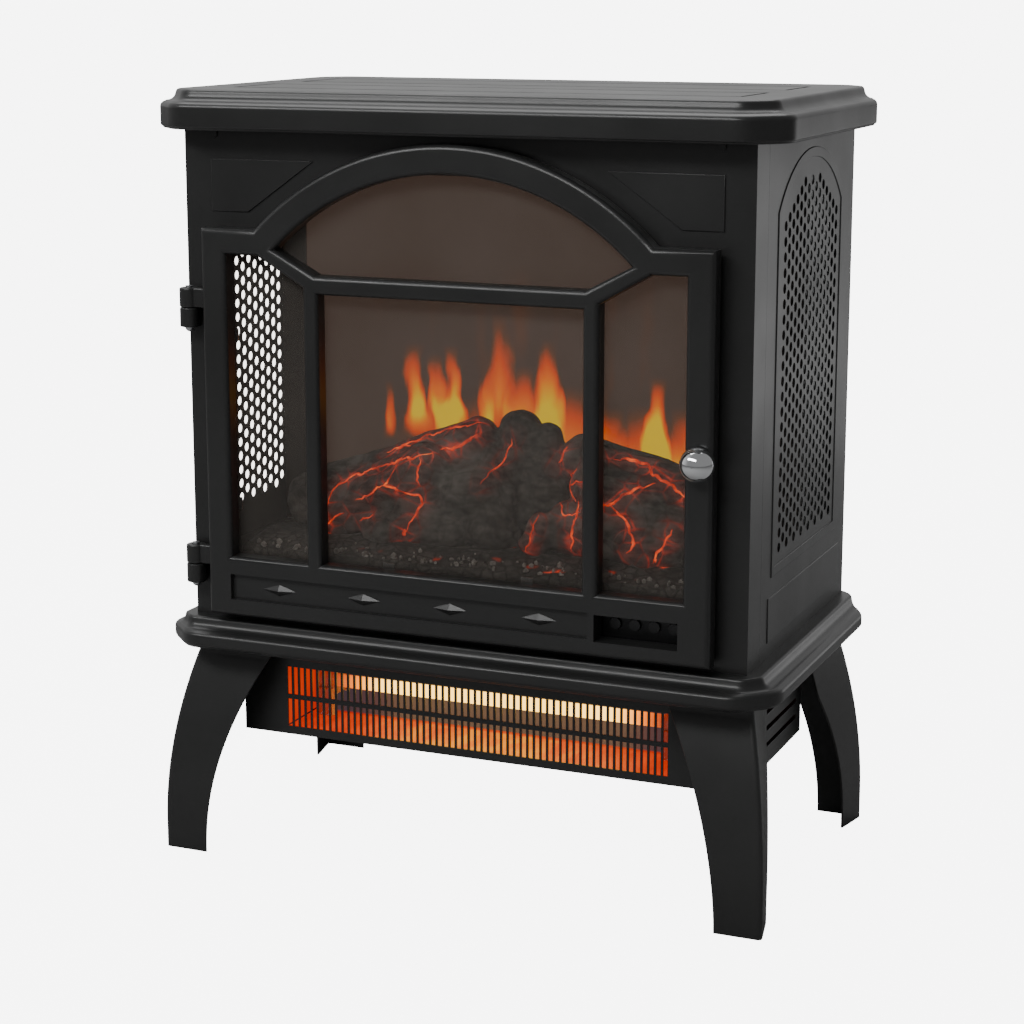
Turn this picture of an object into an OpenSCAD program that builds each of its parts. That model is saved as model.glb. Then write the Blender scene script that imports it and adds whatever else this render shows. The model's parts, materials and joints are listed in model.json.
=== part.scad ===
// Free-standing electric fireplace in the shape of a small stove.
// Millimetres. X runs to the right, Y to the back and Z up.
// The origin is on the floor, under the middle of the overall box.
// Inside the modules Y is counted from the front panel's outer face.

/* [Overall] */
// Height from the floor to the top plate
overall_h = 636; // [632:1:642]
// Width of the body over its side panels
body_w = 480; // [476:1:488]
// Depth of the body from front panel to rear panel
body_d = 276; // [274:1:282]
// Thickness of the folded sheet steel
sheet = 1.2; // [1:0.1:1.3]

/* [Plates] */
// How far the lips of the top and base plates stand out past the body
lip_out = 26; // [25:0.5:28]
// Height of the underside of the base plate's lip
base_low = 179; // [178:0.5:180]
// Length cut off each corner of the plates
corner_cut = 29; // [26:1:31]

/* [Door] */
// Width of the door
door_w = 432; // [430:1:434]
// Height of the door's shoulders
shoulder_z = 527; // [526:1:528]
// Radius of the door's arch
arch_r = 233; // [232:0.5:233.5]
// Depth of the door frame
door_t = 18; // [17:0.5:19]
// Width of the frame beside the outer panes
stile_w = 22; // [21:0.5:23]
// Width of the glazing bars
bar_w = 13; // [12:0.5:14]

/* [Heater] */
// Height of the heater's underside
heater_low = 97; // [95:0.5:99]
// Number of slots in each row of the heater grille
slot_count = 59; // [51:2:61]
// Width of one grille slot
slot_w = 3.7; // [3.2:0.1:3.8]

/* [Side vents] */
// Diameter of a side vent hole
vent_d = 8; // [7:0.5:8.5]
// Height from one hole to the next in a column
vent_pitch = 12; // [12:0.5:13]

/* [Hidden] */
$fn = 48;

black_paint = "#2b2b29";
black_gloss = "#1d1d1f";
bright_steel = "#b9bbbd";
chrome_col = "#e2e4e6";
board_green = "#1f5a34";
ceramic_col = "#ded9cc";
ember_col = "#d9561e";
tube_col = "#ffd27a";

// Body
hw = body_w / 2;
body_low = base_low + 23;
plate_t = 1.5;
panel_top = overall_h - 17;
tab_top = overall_h - plate_t - 0.1;
tab_hw = 200;
lip_low_top = overall_h - 30;
knob_front = -40;
plate_back = 6;
plate_back_top = 1.8;
moulded_in = 20;
top_cut = 18;
base_cut = 8;
centre_y = (knob_front + body_d + plate_back) / 2;
return_d = 31;
gap = 0.4;

// Door, measured from the middle of the front panel's face
door_hw = door_w / 2;
door_low = body_low + 7;
door_front = -22;
door_back = door_front + door_t;
arch_z = 365.5;
rail_back = -8;
glass_t = 4;
side_pane_corner = 166;
sill_z = 258.8;
bar_x = 112;
muntin_low = 478;
muntin_top = muntin_low + 15;
arch_in_r = arch_r - 23;
arch_corner_x = 150.4;
arch_corner_z = 512;
side_pane_top = 506.5;
window = [[123, 191], [221.5, 243]];

// Hinges
hinge_x = -234.5;
hinge_y = -9;
hinge_r = 8;
pin_r = 3;
run_fit = 0.06;
hinge_low = [231.5, 445];
hinge_h = 32;

// Firebox
floor_z = 250;
ceiling_z = 592;
screen_y = 152;
screen_hw = 212;
box_back = 258;
bed_top = 264;
spindle_y = 214;
spindle_z = 262;

// Heater
base_top_under = body_low - plate_t;
heater_front = 24;
heater_step = 80;
heater_back = 200;
heater_hw = 210;
heater_rear_hw = 227;
tube_y = 76;
tube_z = 132;
tube2_y = 96;
tube2_z = 125;
trough_r = 30;
blow_y = 158;
blow_z = 140;
blow_r = 24;

// Buttons
button_r = 4.5;
button_z = 232;
button_x = [133, 149, 165, 181];

// Legs
leg_out_x = 263.4;
leg_in_x = 224;
leg_front_y = -24;
leg_rear_y = body_d;
leg_t = 1.8;
leg_steps = 16;
leg_freeze = 170;
toe = 0.2;
tab_screws = [[224, 26], [222, 50]];

// ---------- placing and outlines ----------

// Moves a module's local frame to the part's origin.
module placed() translate([0, -centre_y, 0]) children();

// Extrudes an outline drawn in X and Z from y0 to y1.
module slab_xz(y0, y1) translate([0, y1, 0]) rotate([90, 0, 0]) linear_extrude(y1 - y0) children();

// Extrudes an outline drawn in Y and Z from x0 to x1.
module slab_yz(x0, x1) translate([x0, 0, 0]) rotate([90, 0, 90]) linear_extrude(x1 - x0) children();

module box(lo, hi) translate(lo) cube(hi - lo);

module rod_x(r, x0, x1) translate([x0, 0, 0]) rotate([0, 90, 0]) cylinder(r = r, h = x1 - x0);

module rod_y(r, y0, y1) translate([0, y1, 0]) rotate([90, 0, 0]) cylinder(r = r, h = y1 - y0);

module both_sides() {
    children();
    mirror([1, 0, 0]) children();
}

// Eight-cornered outline of a plate that stands "out" past the body, moved in by "wall".
// The back edge stands out less, and the corner cut grows from "cut" to its full size.
function plan(out, wall, cut) =
    let (share = (out - lip_out + moulded_in) / moulded_in)
    let (x = hw + out - wall, f = wall - out)
    let (b = body_d + plate_back_top + (plate_back - plate_back_top) * share - wall)
    let (c = cut + (corner_cut - cut) * share - 0.586 * wall)
    [[-x + c, f], [x - c, f], [x, f + c], [x, b - c], [x - c, b], [-x + c, b], [-x, b - c], [-x, f + c]];

// Faces of a loft through rings of n points each, closed by the given end faces.
function loft_sides(rings, n) = [for (i = [0:rings - 2]) for (j = [0:n - 1])
    [i * n + j, (i + 1) * n + j, (i + 1) * n + (j + 1) % n, i * n + (j + 1) % n]];

// Lofts the plate outline through [height, out] levels into one closed solid.
module moulding(levels, wall, cut) {
    n = len(plan(0, 0, 0));
    last = (len(levels) - 1) * n;
    points = [for (l = levels) for (p = plan(l[1], wall, cut)) [p[0], p[1], l[0]]];
    polyhedron(points, concat([[for (j = [0:n - 1]) j], [for (j = [n - 1:-1:0]) last + j]],
        loft_sides(len(levels), n)));
}

// A moulded plate of sheet, open at the bottom.
module moulded_plate(levels, cut) {
    foot = [levels[0][0] - 1, levels[0][1]];
    inside = [for (i = [0:len(levels) - 1]) [levels[i][0] - (i == 0 ? 0 : plate_t), levels[i][1]]];
    difference() {
        moulding(levels, 0, cut);
        moulding(concat([foot], inside), plate_t, cut);
    }
}

function top_levels() = [
    [lip_low_top, lip_out - 1.2], [lip_low_top + 2, lip_out], [overall_h - 16, lip_out - 0.5],
    [overall_h - 12.5, lip_out - 2.5], [overall_h - 10, lip_out - 6.5], [overall_h - 8, lip_out - 11.5],
    [overall_h - 6.5, lip_out - 15], [overall_h - 3, lip_out - 18.4], [overall_h, lip_out - moulded_in]
];

function base_levels() = [
    [base_low, lip_out - 4], [base_low + 4, lip_out], [base_low + 9, lip_out - 0.5],
    [base_low + 12, lip_out - 4], [base_low + 14, lip_out - 9], [base_low + 16, lip_out - 15],
    [base_low + 19, lip_out - 17.5], [body_low, lip_out - moulded_in]
];

// ---------- shell ----------

module top_plate() color(black_paint) placed() difference() {
    moulded_plate(top_levels(), top_cut);
    for (strip = [[38, 108], [155, 225]]) panel_groove(strip);
}

// Narrow groove round one long panel in the top.
module panel_groove(strip) translate([0, 0, overall_h - 0.6]) linear_extrude(2) difference() {
    translate([-hw + 24, strip[0]]) square([body_w - 48, strip[1] - strip[0]]);
    translate([-hw + 26, strip[0] + 2]) square([body_w - 52, strip[1] - strip[0] - 4]);
}

module leg_tab_holes(r) for (mx = [-1, 1]) for (s = tab_screws) {
    translate([mx * s[0], s[1], body_low - 6]) cylinder(r = r, h = 8);
    translate([mx * s[0], body_d - s[1], body_low - 6]) cylinder(r = r, h = 8);
}

module base_plate() color(black_paint) placed() difference() {
    moulded_plate(base_levels(), base_cut);
    leg_tab_holes(2.2);
}

module arch_outline(half, r, low, centre) intersection() {
    translate([-half, low]) square([2 * half, 500]);
    union() {
        translate([-half, low]) square([2 * half, centre - low]);
        translate([0, centre]) circle(r = r, $fn = 96);
    }
}

// Door outline: square shoulders with the arch standing on them.
module door_outline(grow) {
    translate([-door_hw - grow, door_low - grow])
        square([door_w + 2 * grow, shoulder_z - door_low + 2 * grow]);
    intersection() {
        translate([0, arch_z]) circle(r = arch_r + grow, $fn = 96);
        translate([-door_hw, shoulder_z - 1]) square([door_w, 200]);
    }
}

// Firebox opening in the front panel, hidden behind the door's rails.
module firebox_opening() {
    translate([-198, sill_z - 4]) square([396, side_pane_top - sill_z + 8]);
    intersection() {
        translate([0, arch_z]) circle(r = arch_in_r + 4, $fn = 96);
        translate([-152, side_pane_top]) square([304, 100]);
    }
}

module corner_panel_outline() polygon([[124, 581], [216, 581], [216, 539], [183, 539]]);

// Wall across the body, with a narrower tongue that reaches up under the top plate.
module wall_outline() {
    translate([-hw, body_low]) square([body_w, panel_top - body_low]);
    translate([-tab_hw, body_low]) square([2 * tab_hw, tab_top - body_low]);
}

module front_panel() color(black_paint) placed() {
    difference() {
        union() {
            slab_xz(0, sheet) wall_outline();
            both_sides() box([hw - sheet, 0, body_low], [hw, return_d, panel_top]);
            both_sides() slab_xz(-1.3, 0.2) corner_panel_outline();
        }
        slab_xz(-5, 5) firebox_opening();
        slab_xz(-5, 5) translate([window[0][0] - 4, window[1][0] - 4])
            square([window[0][1] - window[0][0] + 8, window[1][1] - window[1][0] + 8]);
        for (x = [-213, 213]) translate([x, 0, lip_low_top - 5]) rod_y(1.7, -2, 3);
    }
}

vent_rows = 26;
vent_cols = 15;
vent_y0 = 78;
vent_step = vent_pitch * sqrt(3) / 2;
vent_mid = vent_y0 + (vent_cols - 1) / 2 * vent_step;
vent_low = 285;
vent_arch_z = 470;
vent_arch_r = 103;

function vent_open(y, z) = z <= vent_arch_z || norm([y - vent_mid, z - vent_arch_z]) <= vent_arch_r;

module vent_holes() for (i = [0:vent_cols - 1]) for (j = [0:vent_rows - 1]) {
    y = vent_y0 + i * vent_step;
    z = vent_low + (i % 2) * vent_pitch / 2 + j * vent_pitch;
    if (vent_open(y, z)) translate([y, z]) circle(d = vent_d, $fn = 24);
}

module vent_bead() translate([vent_mid, 0]) difference() {
    arch_outline(93.5, 121, 265, 472);
    arch_outline(85.5, 113, 273, 472);
}

module side_outline(inset) {
    translate([return_d + inset, body_low])
        square([body_d - sheet - return_d - 2 * inset, panel_top - body_low]);
    translate([return_d + 9, body_low]) square([200, tab_top - body_low]);
}

module side_panel() {
    slab_yz(hw - sheet, hw) difference() {
        side_outline(0.2);
        vent_holes();
    }
    slab_yz(hw - 0.2, hw + 0.8) vent_bead();
    slab_yz(hw - 0.2, hw + 0.8) translate([50, body_low + 12]) square([207, 36]);
    difference() {
        box([hw - 13, body_d - 2 * sheet - 0.2, body_low], [hw, body_d - sheet - 0.2, panel_top]);
        rear_screw_holes(1.9);
    }
}

module right_side_panel() color(black_paint) placed() side_panel();

module left_side_panel() color(black_paint) placed() mirror([1, 0, 0]) side_panel();

rear_screw_z = [body_low + 14, 410, panel_top - 30];
gland_at = [-196, 226];

module rear_screw_holes(r) for (x = [-hw + 7, hw - 7]) for (z = rear_screw_z)
    translate([x, 0, z]) rod_y(r, body_d - 9, body_d + 1);

module rear_vents() for (row = [[560, 34], [300, 34]]) for (i = [-12:12])
    translate([i * 14 - 2.5, row[0]]) square([5, row[1]]);

module rear_panel() color(black_paint) placed() difference() {
    slab_xz(body_d - sheet, body_d) difference() {
        wall_outline();
        rear_vents();
        translate(gland_at) circle(r = 8.2);
    }
    rear_screw_holes(1.9);
}

module pan_screw(r, l) {
    rotate_extrude() {
        square([r, l]);
        intersection() {
            translate([0, -2 * r + 1.6 * r]) circle(r = 2 * r);
            translate([0, -r * 0.9]) square([2 * r, r * 0.9]);
        }
    }
}

module panel_screws() color(black_paint) placed() {
    for (x = [-hw + 7, hw - 7]) for (z = rear_screw_z)
        translate([x, body_d, z]) rotate([90, 0, 0]) pan_screw(1.8, 8);
    for (x = [-213, 213]) translate([x, 0, lip_low_top - 5]) rotate([-90, 0, 0]) pan_screw(1.6, 6);
}

// ---------- firebox ----------

module firebox_floor() color(black_paint) placed()
    box([-hw + sheet + gap, sheet + gap, floor_z], [hw - sheet - gap, screen_y - gap, floor_z + sheet]);

module firebox_ceiling() color(black_paint) placed()
    box([-hw + sheet + gap, sheet + gap, ceiling_z], [hw - sheet - gap, screen_y - gap, ceiling_z + sheet]);

module screen_frame() color("#6b625c") placed() slab_xz(screen_y, screen_y + sheet) difference() {
    translate([-236, floor_z + 2]) square([472, ceiling_z + 6 - floor_z]);
    translate([-screen_hw, 268]) square([2 * screen_hw, 292]);
}

module flame_screen() color("#e8a35c", 0.8) placed()
    box([-218, screen_y + sheet, 262], [218, screen_y + sheet + 3, 566]);

module flame_box() color("#8b8b88") placed() difference() {
    box([-236, screen_y + sheet, body_low + 4], [236, box_back, ceiling_z + 8]);
    box([-236 + sheet, screen_y, body_low + 4 + sheet], [236 - sheet, box_back - sheet, ceiling_z + 8 - sheet]);
}

module ember_bed() color(ember_col) placed() difference() {
    box([-205, 14, floor_z + sheet], [205, 148, bed_top]);
    box([-200, 19, floor_z], [200, 143, 258]);
}

// One straight log from a to b.
module log(a, b, r) {
    d = b - a;
    translate(a) rotate([0, acos(d[2] / norm(d)), atan2(d[1], d[0])]) cylinder(r = r, h = norm(d));
}

module log_set() color("#4a403a") placed() intersection() {
    union() {
        log([-194, 92, 284], [-26, 112, 359], 20);
        log([196, 92, 302], [48, 112, 352], 20);
        log([-94, 70, 286], [148, 78, 291], 18);
        log([8, 114, 250], [6, 112, 383], 24);
        log([-44, 97, 309], [58, 99, 314], 25);
    }
    box([-202, 30, bed_top], [202, 146, 388]);
}

fin_count = 12;

module flame_spindle() color(bright_steel) placed() translate([0, spindle_y, spindle_z]) {
    rod_x(pin_r, -227, 196);
    rod_x(2.5, 195, 214);
    for (i = [0:fin_count - 1]) translate([-176 + i * 32, 0, 0]) rotate([i * 75, 0, 0])
        translate([-11, -0.4, -15]) cube([22, 0.8, 30]);
}

module spindle_motor() color("#c9c6bd") placed() translate([0, spindle_y, spindle_z]) difference() {
    union() {
        rod_x(20, 208, 236 - sheet);
        rod_x(6, 204, 210);
    }
    rod_x(2.5 + run_fit, 203, 216);
}

module spindle_bush() color(ceramic_col) placed() translate([0, spindle_y, spindle_z]) difference() {
    union() {
        rod_x(11, -236 + sheet, -232);
        rod_x(6.5, -233, -222);
    }
    rod_x(pin_r + run_fit, -231, -221);
}

module led_boards() color(board_green) placed() {
    box([-200, 166, body_low + 4 + sheet], [200, 186, body_low + 5.6 + sheet]);
    box([-180, 70, floor_z + sheet], [180, 86, floor_z + 1.6 + sheet]);
}

module leds() color("#fff3c8") placed() for (i = [0:8]) {
    translate([-176 + 44 * i, 173.5, body_low + 5.6 + sheet]) cube([5, 5, 3]);
    translate([-160 + 40 * i, 75.5, floor_z + 1.6 + sheet]) cube([5, 5, 3]);
}

// ---------- door ----------

// The panes between the glazing bars.
module pane_openings() {
    translate([-bar_x, sill_z]) square([2 * bar_x, muntin_low - sill_z]);
    both_sides_2d() polygon([[bar_x + bar_w, sill_z], [door_hw - stile_w, sill_z],
        [door_hw - stile_w, side_pane_top], [side_pane_corner, side_pane_top],
        [bar_x + bar_w, muntin_low + 5]]);
    intersection() {
        translate([0, arch_z]) circle(r = arch_in_r, $fn = 96);
        polygon([[-arch_corner_x, arch_corner_z], [-bar_x - 2, muntin_top], [bar_x + 2, muntin_top],
            [arch_corner_x, arch_corner_z], [arch_corner_x, 600], [-arch_corner_x, 600]]);
    }
}

module both_sides_2d() {
    children();
    mirror([1, 0]) children();
}

module glass_outline(grow) {
    translate([-200 - grow, sill_z - 6 - grow])
        square([400 + 2 * grow, side_pane_top - sill_z + 12 + 2 * grow]);
    intersection() {
        translate([0, arch_z]) circle(r = arch_in_r + 6 + grow, $fn = 96);
        translate([-165, side_pane_top]) square([330, 100]);
    }
}

strip_y = door_front + 4;
diamond_x = [-152, -76, 0, 76];

// Low four-sided stud in the sunken strip under the panes.
module diamond(x) polyhedron(
    [[x - 17, strip_y + 0.5, 233.5], [x, strip_y + 0.5, 227.5], [x + 17, strip_y + 0.5, 233.5],
     [x, strip_y + 0.5, 239.5], [x, strip_y - 3, 233.5]],
    [[0, 1, 4], [1, 2, 4], [2, 3, 4], [3, 0, 4], [3, 2, 1, 0]]);

module door_frame() color(black_paint) placed() {
    difference() {
        slab_xz(door_front, door_back) door_outline(0);
        slab_xz(door_front - 1, door_back + 1) pane_openings();
        slab_xz(rail_back, door_back + 1) glass_outline(0.5);
        slab_xz(door_front - 1, strip_y) translate([-195, 223]) square([312.5, 21.2]);
        slab_xz(door_front - 1, door_back + 1) translate([window[0][0], window[1][0]])
            square([window[0][1] - window[0][0], window[1][1] - window[1][0]]);
        translate([206, 0, 368]) rod_y(2.2, door_front - 1, door_back + 1);
        for (c = clip_at) translate([c[0], 0, c[1]]) rod_y(1.3, rail_back, door_back + 1);
    }
    for (x = diamond_x) diamond(x);
}

module door_glass() color("#8a7a70", 0.35) placed() slab_xz(rail_back, rail_back + glass_t) glass_outline(0);

// Places of the clips that hold the glass, [x, z, turn about Y].
clip_at = [[-207, 300, 0], [-207, 440, 0], [207, 300, 180], [207, 440, 180],
    [-60, 248, -90], [60, 248, -90]];

module glass_clips() color(bright_steel) placed() for (c = clip_at)
    translate([c[0], 0, c[1]]) rotate([0, c[2], 0]) difference() {
        box([-5, door_back, -5], [14, door_back + 1, 5]);
        rod_y(1.5, door_back - 1, door_back + 2);
    }

module glass_clip_screws() color(bright_steel) placed() for (c = clip_at)
    translate([c[0], door_back + 1, c[1]]) rotate([90, 0, 0]) pan_screw(1.2, 4);

module door_knob() color(chrome_col) placed() translate([206, 0, 368]) difference() {
    translate([0, door_front, 0]) rotate([90, 0, 0]) rotate_extrude($fn = 64) intersection() {
        union() {
            translate([0, 4.6]) circle(r = 13.4, $fn = 96);
            square([6.5, 6]);
        }
        polygon([[0, 0], [6.5, 0], [6.5, 2], [14, 2], [14, 20], [0, 20]]);
    }
    rod_y(1.9, door_front - 9, door_front + 1);
}

module knob_screw() color(bright_steel) placed()
    translate([206, door_back, 368]) rotate([90, 0, 0]) pan_screw(1.8, 24);

// Upper halves of the hinges, carried by the door.
module door_hinge_knuckles() color(black_paint) placed() for (low = hinge_low) {
    z0 = low + hinge_h / 2 + 0.2;
    translate([hinge_x, hinge_y, z0]) difference() {
        union() {
            cylinder(r = hinge_r, h = hinge_h / 2 - 0.2);
            translate([0, -4, 0]) cube([-door_hw - hinge_x, 8, hinge_h / 2 - 0.2]);
        }
        translate([0, 0, -1]) cylinder(r = pin_r + run_fit, h = hinge_h);
    }
}

// Lower halves of the hinges, fixed to the front panel.
module body_hinge_brackets() color(black_paint) placed() for (low = hinge_low)
    translate([hinge_x, hinge_y, low]) difference() {
        union() {
            cylinder(r = hinge_r, h = hinge_h / 2 - 0.2);
            translate([-5.5, 0, 0]) cube([11, -hinge_y, hinge_h / 2 - 0.2]);
        }
        translate([0, 0, -1]) cylinder(r = pin_r, h = hinge_h);
    }

module hinge_pins() color(bright_steel) placed() for (low = hinge_low)
    translate([hinge_x, hinge_y, low]) rotate_extrude() {
        square([pin_r, hinge_h + 1.5]);
        intersection() {
            circle(r = 4.2);
            translate([0, -5]) square([5, 5]);
        }
    }

module strike_plate() color(bright_steel) placed()
    box([203, door_back, 330], [213, door_back + 0.8, 352]);

module magnet_catch() color("#3c3c3e") placed() difference() {
    box([202, door_back + 1.2, 328], [214, 0, 354]);
    for (z = [331, 351]) translate([208, 0, z]) rod_y(1, -9, 1);
}

// ---------- controls ----------

receiver_at = [126.5, 0, 240];

module control_panel() color(black_gloss) placed() difference() {
    union() {
        box([window[0][0] - 7, sheet, 213], [window[0][1] + 7, 4.4, 249]);
        for (x = window[0]) translate([x, 0, 217]) rod_y(2.5, 4, 13);
    }
    for (x = button_x) translate([x, 0, button_z]) rod_y(button_r + gap, 0, 6);
    translate(receiver_at) rod_y(2.2, 0, 6);
}

module button(x) color(black_gloss) placed() translate([x, 0, button_z]) {
    rod_y(button_r, -1, 6);
    rod_y(button_r + 1.5, 5, 6.6);
    rod_y(2, 6, 8.2);
}

module power_button() button(button_x[0]);
module heat_button() button(button_x[1]);
module flame_button() button(button_x[2]);
module timer_button() button(button_x[3]);

module control_board() color(board_green) placed()
    box([window[0][0] - 6, 13, 214], [window[0][1] + 6, 14.6, 248]);

module tact_switches() color("#2a2a2a") placed() for (x = button_x)
    box([x - 3, 9.8, button_z - 3], [x + 3, 13, button_z + 3]);

module remote_receiver() color("#3a1518") placed()
    translate(receiver_at) rod_y(1.8, 3, 13);

// ---------- heater ----------

module heater_plan(inset, front) {
    translate([-heater_hw + inset, front])
        square([2 * (heater_hw - inset), heater_back - inset - front]);
    translate([-heater_rear_hw + inset, heater_step + inset])
        square([2 * (heater_rear_hw - inset), heater_back - heater_step - 2 * inset]);
}

module louvres() for (z = [112, 126, 140]) box([-300, 100, z], [300, 185, z + 4]);

module heater_housing() color(black_paint) placed() difference() {
    translate([0, 0, heater_low]) linear_extrude(base_top_under - heater_low)
        heater_plan(0, heater_front + sheet);
    translate([0, 0, heater_low + sheet]) linear_extrude(200) heater_plan(sheet, heater_front - 1);
    louvres();
    for (i = [-8:8]) box([i * 12 - 2, heater_back - 5, 120], [i * 12 + 2, heater_back + 1, 170]);
}

slot_pitch = 340 / slot_count;
slot_rows = [[104, 128], [132, 156]];

module heater_grille() color(black_paint) placed() slab_xz(heater_front, heater_front + sheet) difference() {
    translate([-heater_hw, heater_low]) square([2 * heater_hw, base_top_under - heater_low]);
    for (row = slot_rows) for (i = [0:slot_count - 1])
        translate([(i - (slot_count - 1) / 2) * slot_pitch - slot_w / 2, row[0]])
            square([slot_w, row[1] - row[0]]);
}

trough_hw = 172;

// Bright trough, open to the front, behind the tubes.
module reflector() color(chrome_col) placed() slab_yz(-trough_hw, trough_hw) difference() {
    union() {
        translate([tube_y, tube_z]) circle(r = trough_r + 0.8, $fn = 64);
        translate([heater_front + 2.5, tube_z - trough_r - 0.8])
            square([tube_y - heater_front - 2.5, 2 * trough_r + 1.6]);
    }
    translate([tube_y, tube_z]) circle(r = trough_r, $fn = 64);
    translate([0, tube_z - trough_r]) square([tube_y, 2 * trough_r]);
}

module at_tubes() {
    translate([0, tube_y, tube_z]) children();
    translate([0, tube2_y, tube2_z]) children();
}

module quartz_tubes() color(tube_col, 0.6) placed() at_tubes() difference() {
    rod_x(5.5, -156, 156);
    rod_x(4.5, -157, 157);
}

module filaments() color("#ff8a2b") placed() at_tubes() rod_x(2, -150, 150);

module tube_holders() color(ceramic_col) placed() both_sides() difference() {
    union() {
        at_tubes() rod_x(8, 150, 164);
        box([150, tube_y, 119], [164, tube2_y, 138]);
        box([150, tube_y - 9, tube_z - trough_r], [164, tube_y + 1, 126]);
    }
    at_tubes() rod_x(5.5, 149, 156);
}

module blower_scroll() color(bright_steel) placed() translate([0, blow_y, blow_z]) {
    difference() {
        slab_yz(-83.2, 83.2) difference() {
            circle(r = 30.2, $fn = 64);
            circle(r = 29, $fn = 64);
            translate([-60, -60]) square([52, 120]);
        }
    }
    for (x = [-83.2, 82]) slab_yz(x, x + 1.2) difference() {
        translate([-30, heater_low + sheet - blow_z]) square([61, 30 + blow_z - heater_low - sheet]);
        circle(r = 4);
    }
}

blade_count = 20;

module blower_impeller() color("#9aa0a3") placed() translate([0, blow_y, blow_z]) {
    rod_x(pin_r, -92, 94);
    for (x = [-80, -0.75, 78.5]) rod_x(blow_r, x, x + 1.5);
    for (i = [0:blade_count - 1]) rotate([i * 360 / blade_count, 0, 0])
        translate([-80, 0, 16]) rotate([25, 0, 0]) cube([160, 1, 7.2]);
}

module blower_bush() color(ceramic_col) placed() translate([0, blow_y, blow_z]) difference() {
    rod_x(8, -94, -83.2);
    rod_x(pin_r + run_fit, -95, -82);
}

module blower_motor() color("#6f7477") placed() translate([0, blow_y, blow_z]) difference() {
    union() {
        rod_x(26, 90, 122);
        rod_x(9, 83.2, 91);
    }
    rod_x(pin_r + run_fit, 83, 96);
}

module thermal_cutout() color("#3b3b3d") placed() translate([120, 60, tube_z + trough_r + 0.8]) {
    cylinder(r = 8.5, h = 6);
    for (x = [-4, 3]) translate([x, -1.5, 6]) cube([1, 3, 6]);
}

tip_y = 136;
tip_z = heater_low + sheet + 31;

module tip_switch_case() color("#3d3f42") placed() difference() {
    box([-204, tip_y - 18, heater_low + sheet], [-180, tip_y + 18, tip_z + 10]);
    difference() {
        box([-202, tip_y - 16, heater_low + sheet + 2], [-179, tip_y + 16, tip_z + 8]);
        translate([0, tip_y, tip_z]) rod_x(1.5, -203, -182);
    }
}

module tip_pendulum() color(bright_steel) placed() translate([0, tip_y, tip_z]) difference() {
    union() {
        rod_x(4, -198, -188);
        box([-195, -2, -16], [-191, 2, 0]);
        translate([0, 0, -18]) rod_x(6, -198, -188);
    }
    rod_x(1.5 + run_fit, -200, -186);
}

module terminal_block() color(ceramic_col) placed() difference() {
    box([-152, 172, heater_low + sheet], [-106, 190, heater_low + sheet + 14]);
    for (i = [0:3]) translate([-147 + i * 12, 181, heater_low + 6]) cylinder(r = 2.5, h = 20);
}

// Inlet for the mains lead.
module cord_gland() color("#161616") placed() translate([gland_at[0], body_d, gland_at[1]])
    rotate([-90, 0, 0]) rotate_extrude() polygon([[3.8, -13], [7.9, -13], [7.9, -6], [11, -6],
        [11, -sheet], [7.9, -sheet], [7.9, 0], [10, 0], [9, 4], [6.5, 6], [3.8, 6]]);

// ---------- legs ----------

function leg_curve(z, start, r) = let (h = max(0, min(z, leg_freeze) - start)) h * h / (2 * r);
function leg_out(z) = leg_out_x - leg_curve(z, 25, 546);
function leg_in(z) = leg_in_x - leg_curve(z, 0, 288);
function leg_depth(z) = min(36 + leg_curve(z, 0, 310), 62);
function leg_face_front(z) = leg_front_y + leg_curve(z, 20, 367);
function leg_face_rear(z) = body_d - leg_rear_y + leg_curve(z, 20, 600);

// L-shaped section of a leg: its face along X and its flange running back.
function leg_section(z, face) =
    let (xo = leg_out(z), xi = leg_in(z), y = face, d = leg_depth(z), s = toe * d)
    [[xi, y, z], [xo, y, z], [xo - s, y + d, z], [xo - s - leg_t, y + d, z],
     [xo - leg_t - toe * leg_t, y + leg_t, z], [xi, y + leg_t, z]];

function leg_levels() = concat([for (i = [0:leg_steps]) i * leg_freeze / leg_steps], [base_top_under]);

module leg_shell(rear) {
    levels = leg_levels();
    n = 6;
    last = (len(levels) - 1) * n;
    points = [for (z = levels) for (p = leg_section(z, rear ? leg_face_rear(z) : leg_face_front(z))) p];
    polyhedron(points, concat([[0, 1, 4, 5], [1, 2, 3, 4]],
        [[last + 5, last + 4, last + 1, last], [last + 4, last + 3, last + 2, last + 1]],
        loft_sides(len(levels), n)));
}

// Right-hand leg with the folded tab that screws to the base plate.
module leg(rear) {
    face = rear ? leg_face_rear(200) : leg_face_front(200);
    leg_shell(rear);
    difference() {
        translate([0, 0, base_top_under - leg_t]) linear_extrude(leg_t)
            polygon([[213, face + 1], [242, face + 1], [232.5, face + 50], [213, face + 50]]);
        leg_tab_holes(2.4);
    }
}

module rear_leg() translate([0, body_d, 0]) mirror([0, 1, 0]) leg(true);

module leg_front_right() color(black_paint) placed() leg(false);
module leg_front_left() color(black_paint) placed() mirror([1, 0, 0]) leg(false);
module leg_rear_right() color(black_paint) placed() rear_leg();
module leg_rear_left() color(black_paint) placed() mirror([1, 0, 0]) rear_leg();

module leg_screws() color(bright_steel) placed() for (mx = [-1, 1]) for (s = tab_screws)
    for (y = [s[1], body_d - s[1]])
        translate([mx * s[0], y, base_top_under - leg_t]) pan_screw(2, 5);

// ---------- drawing ----------

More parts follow.
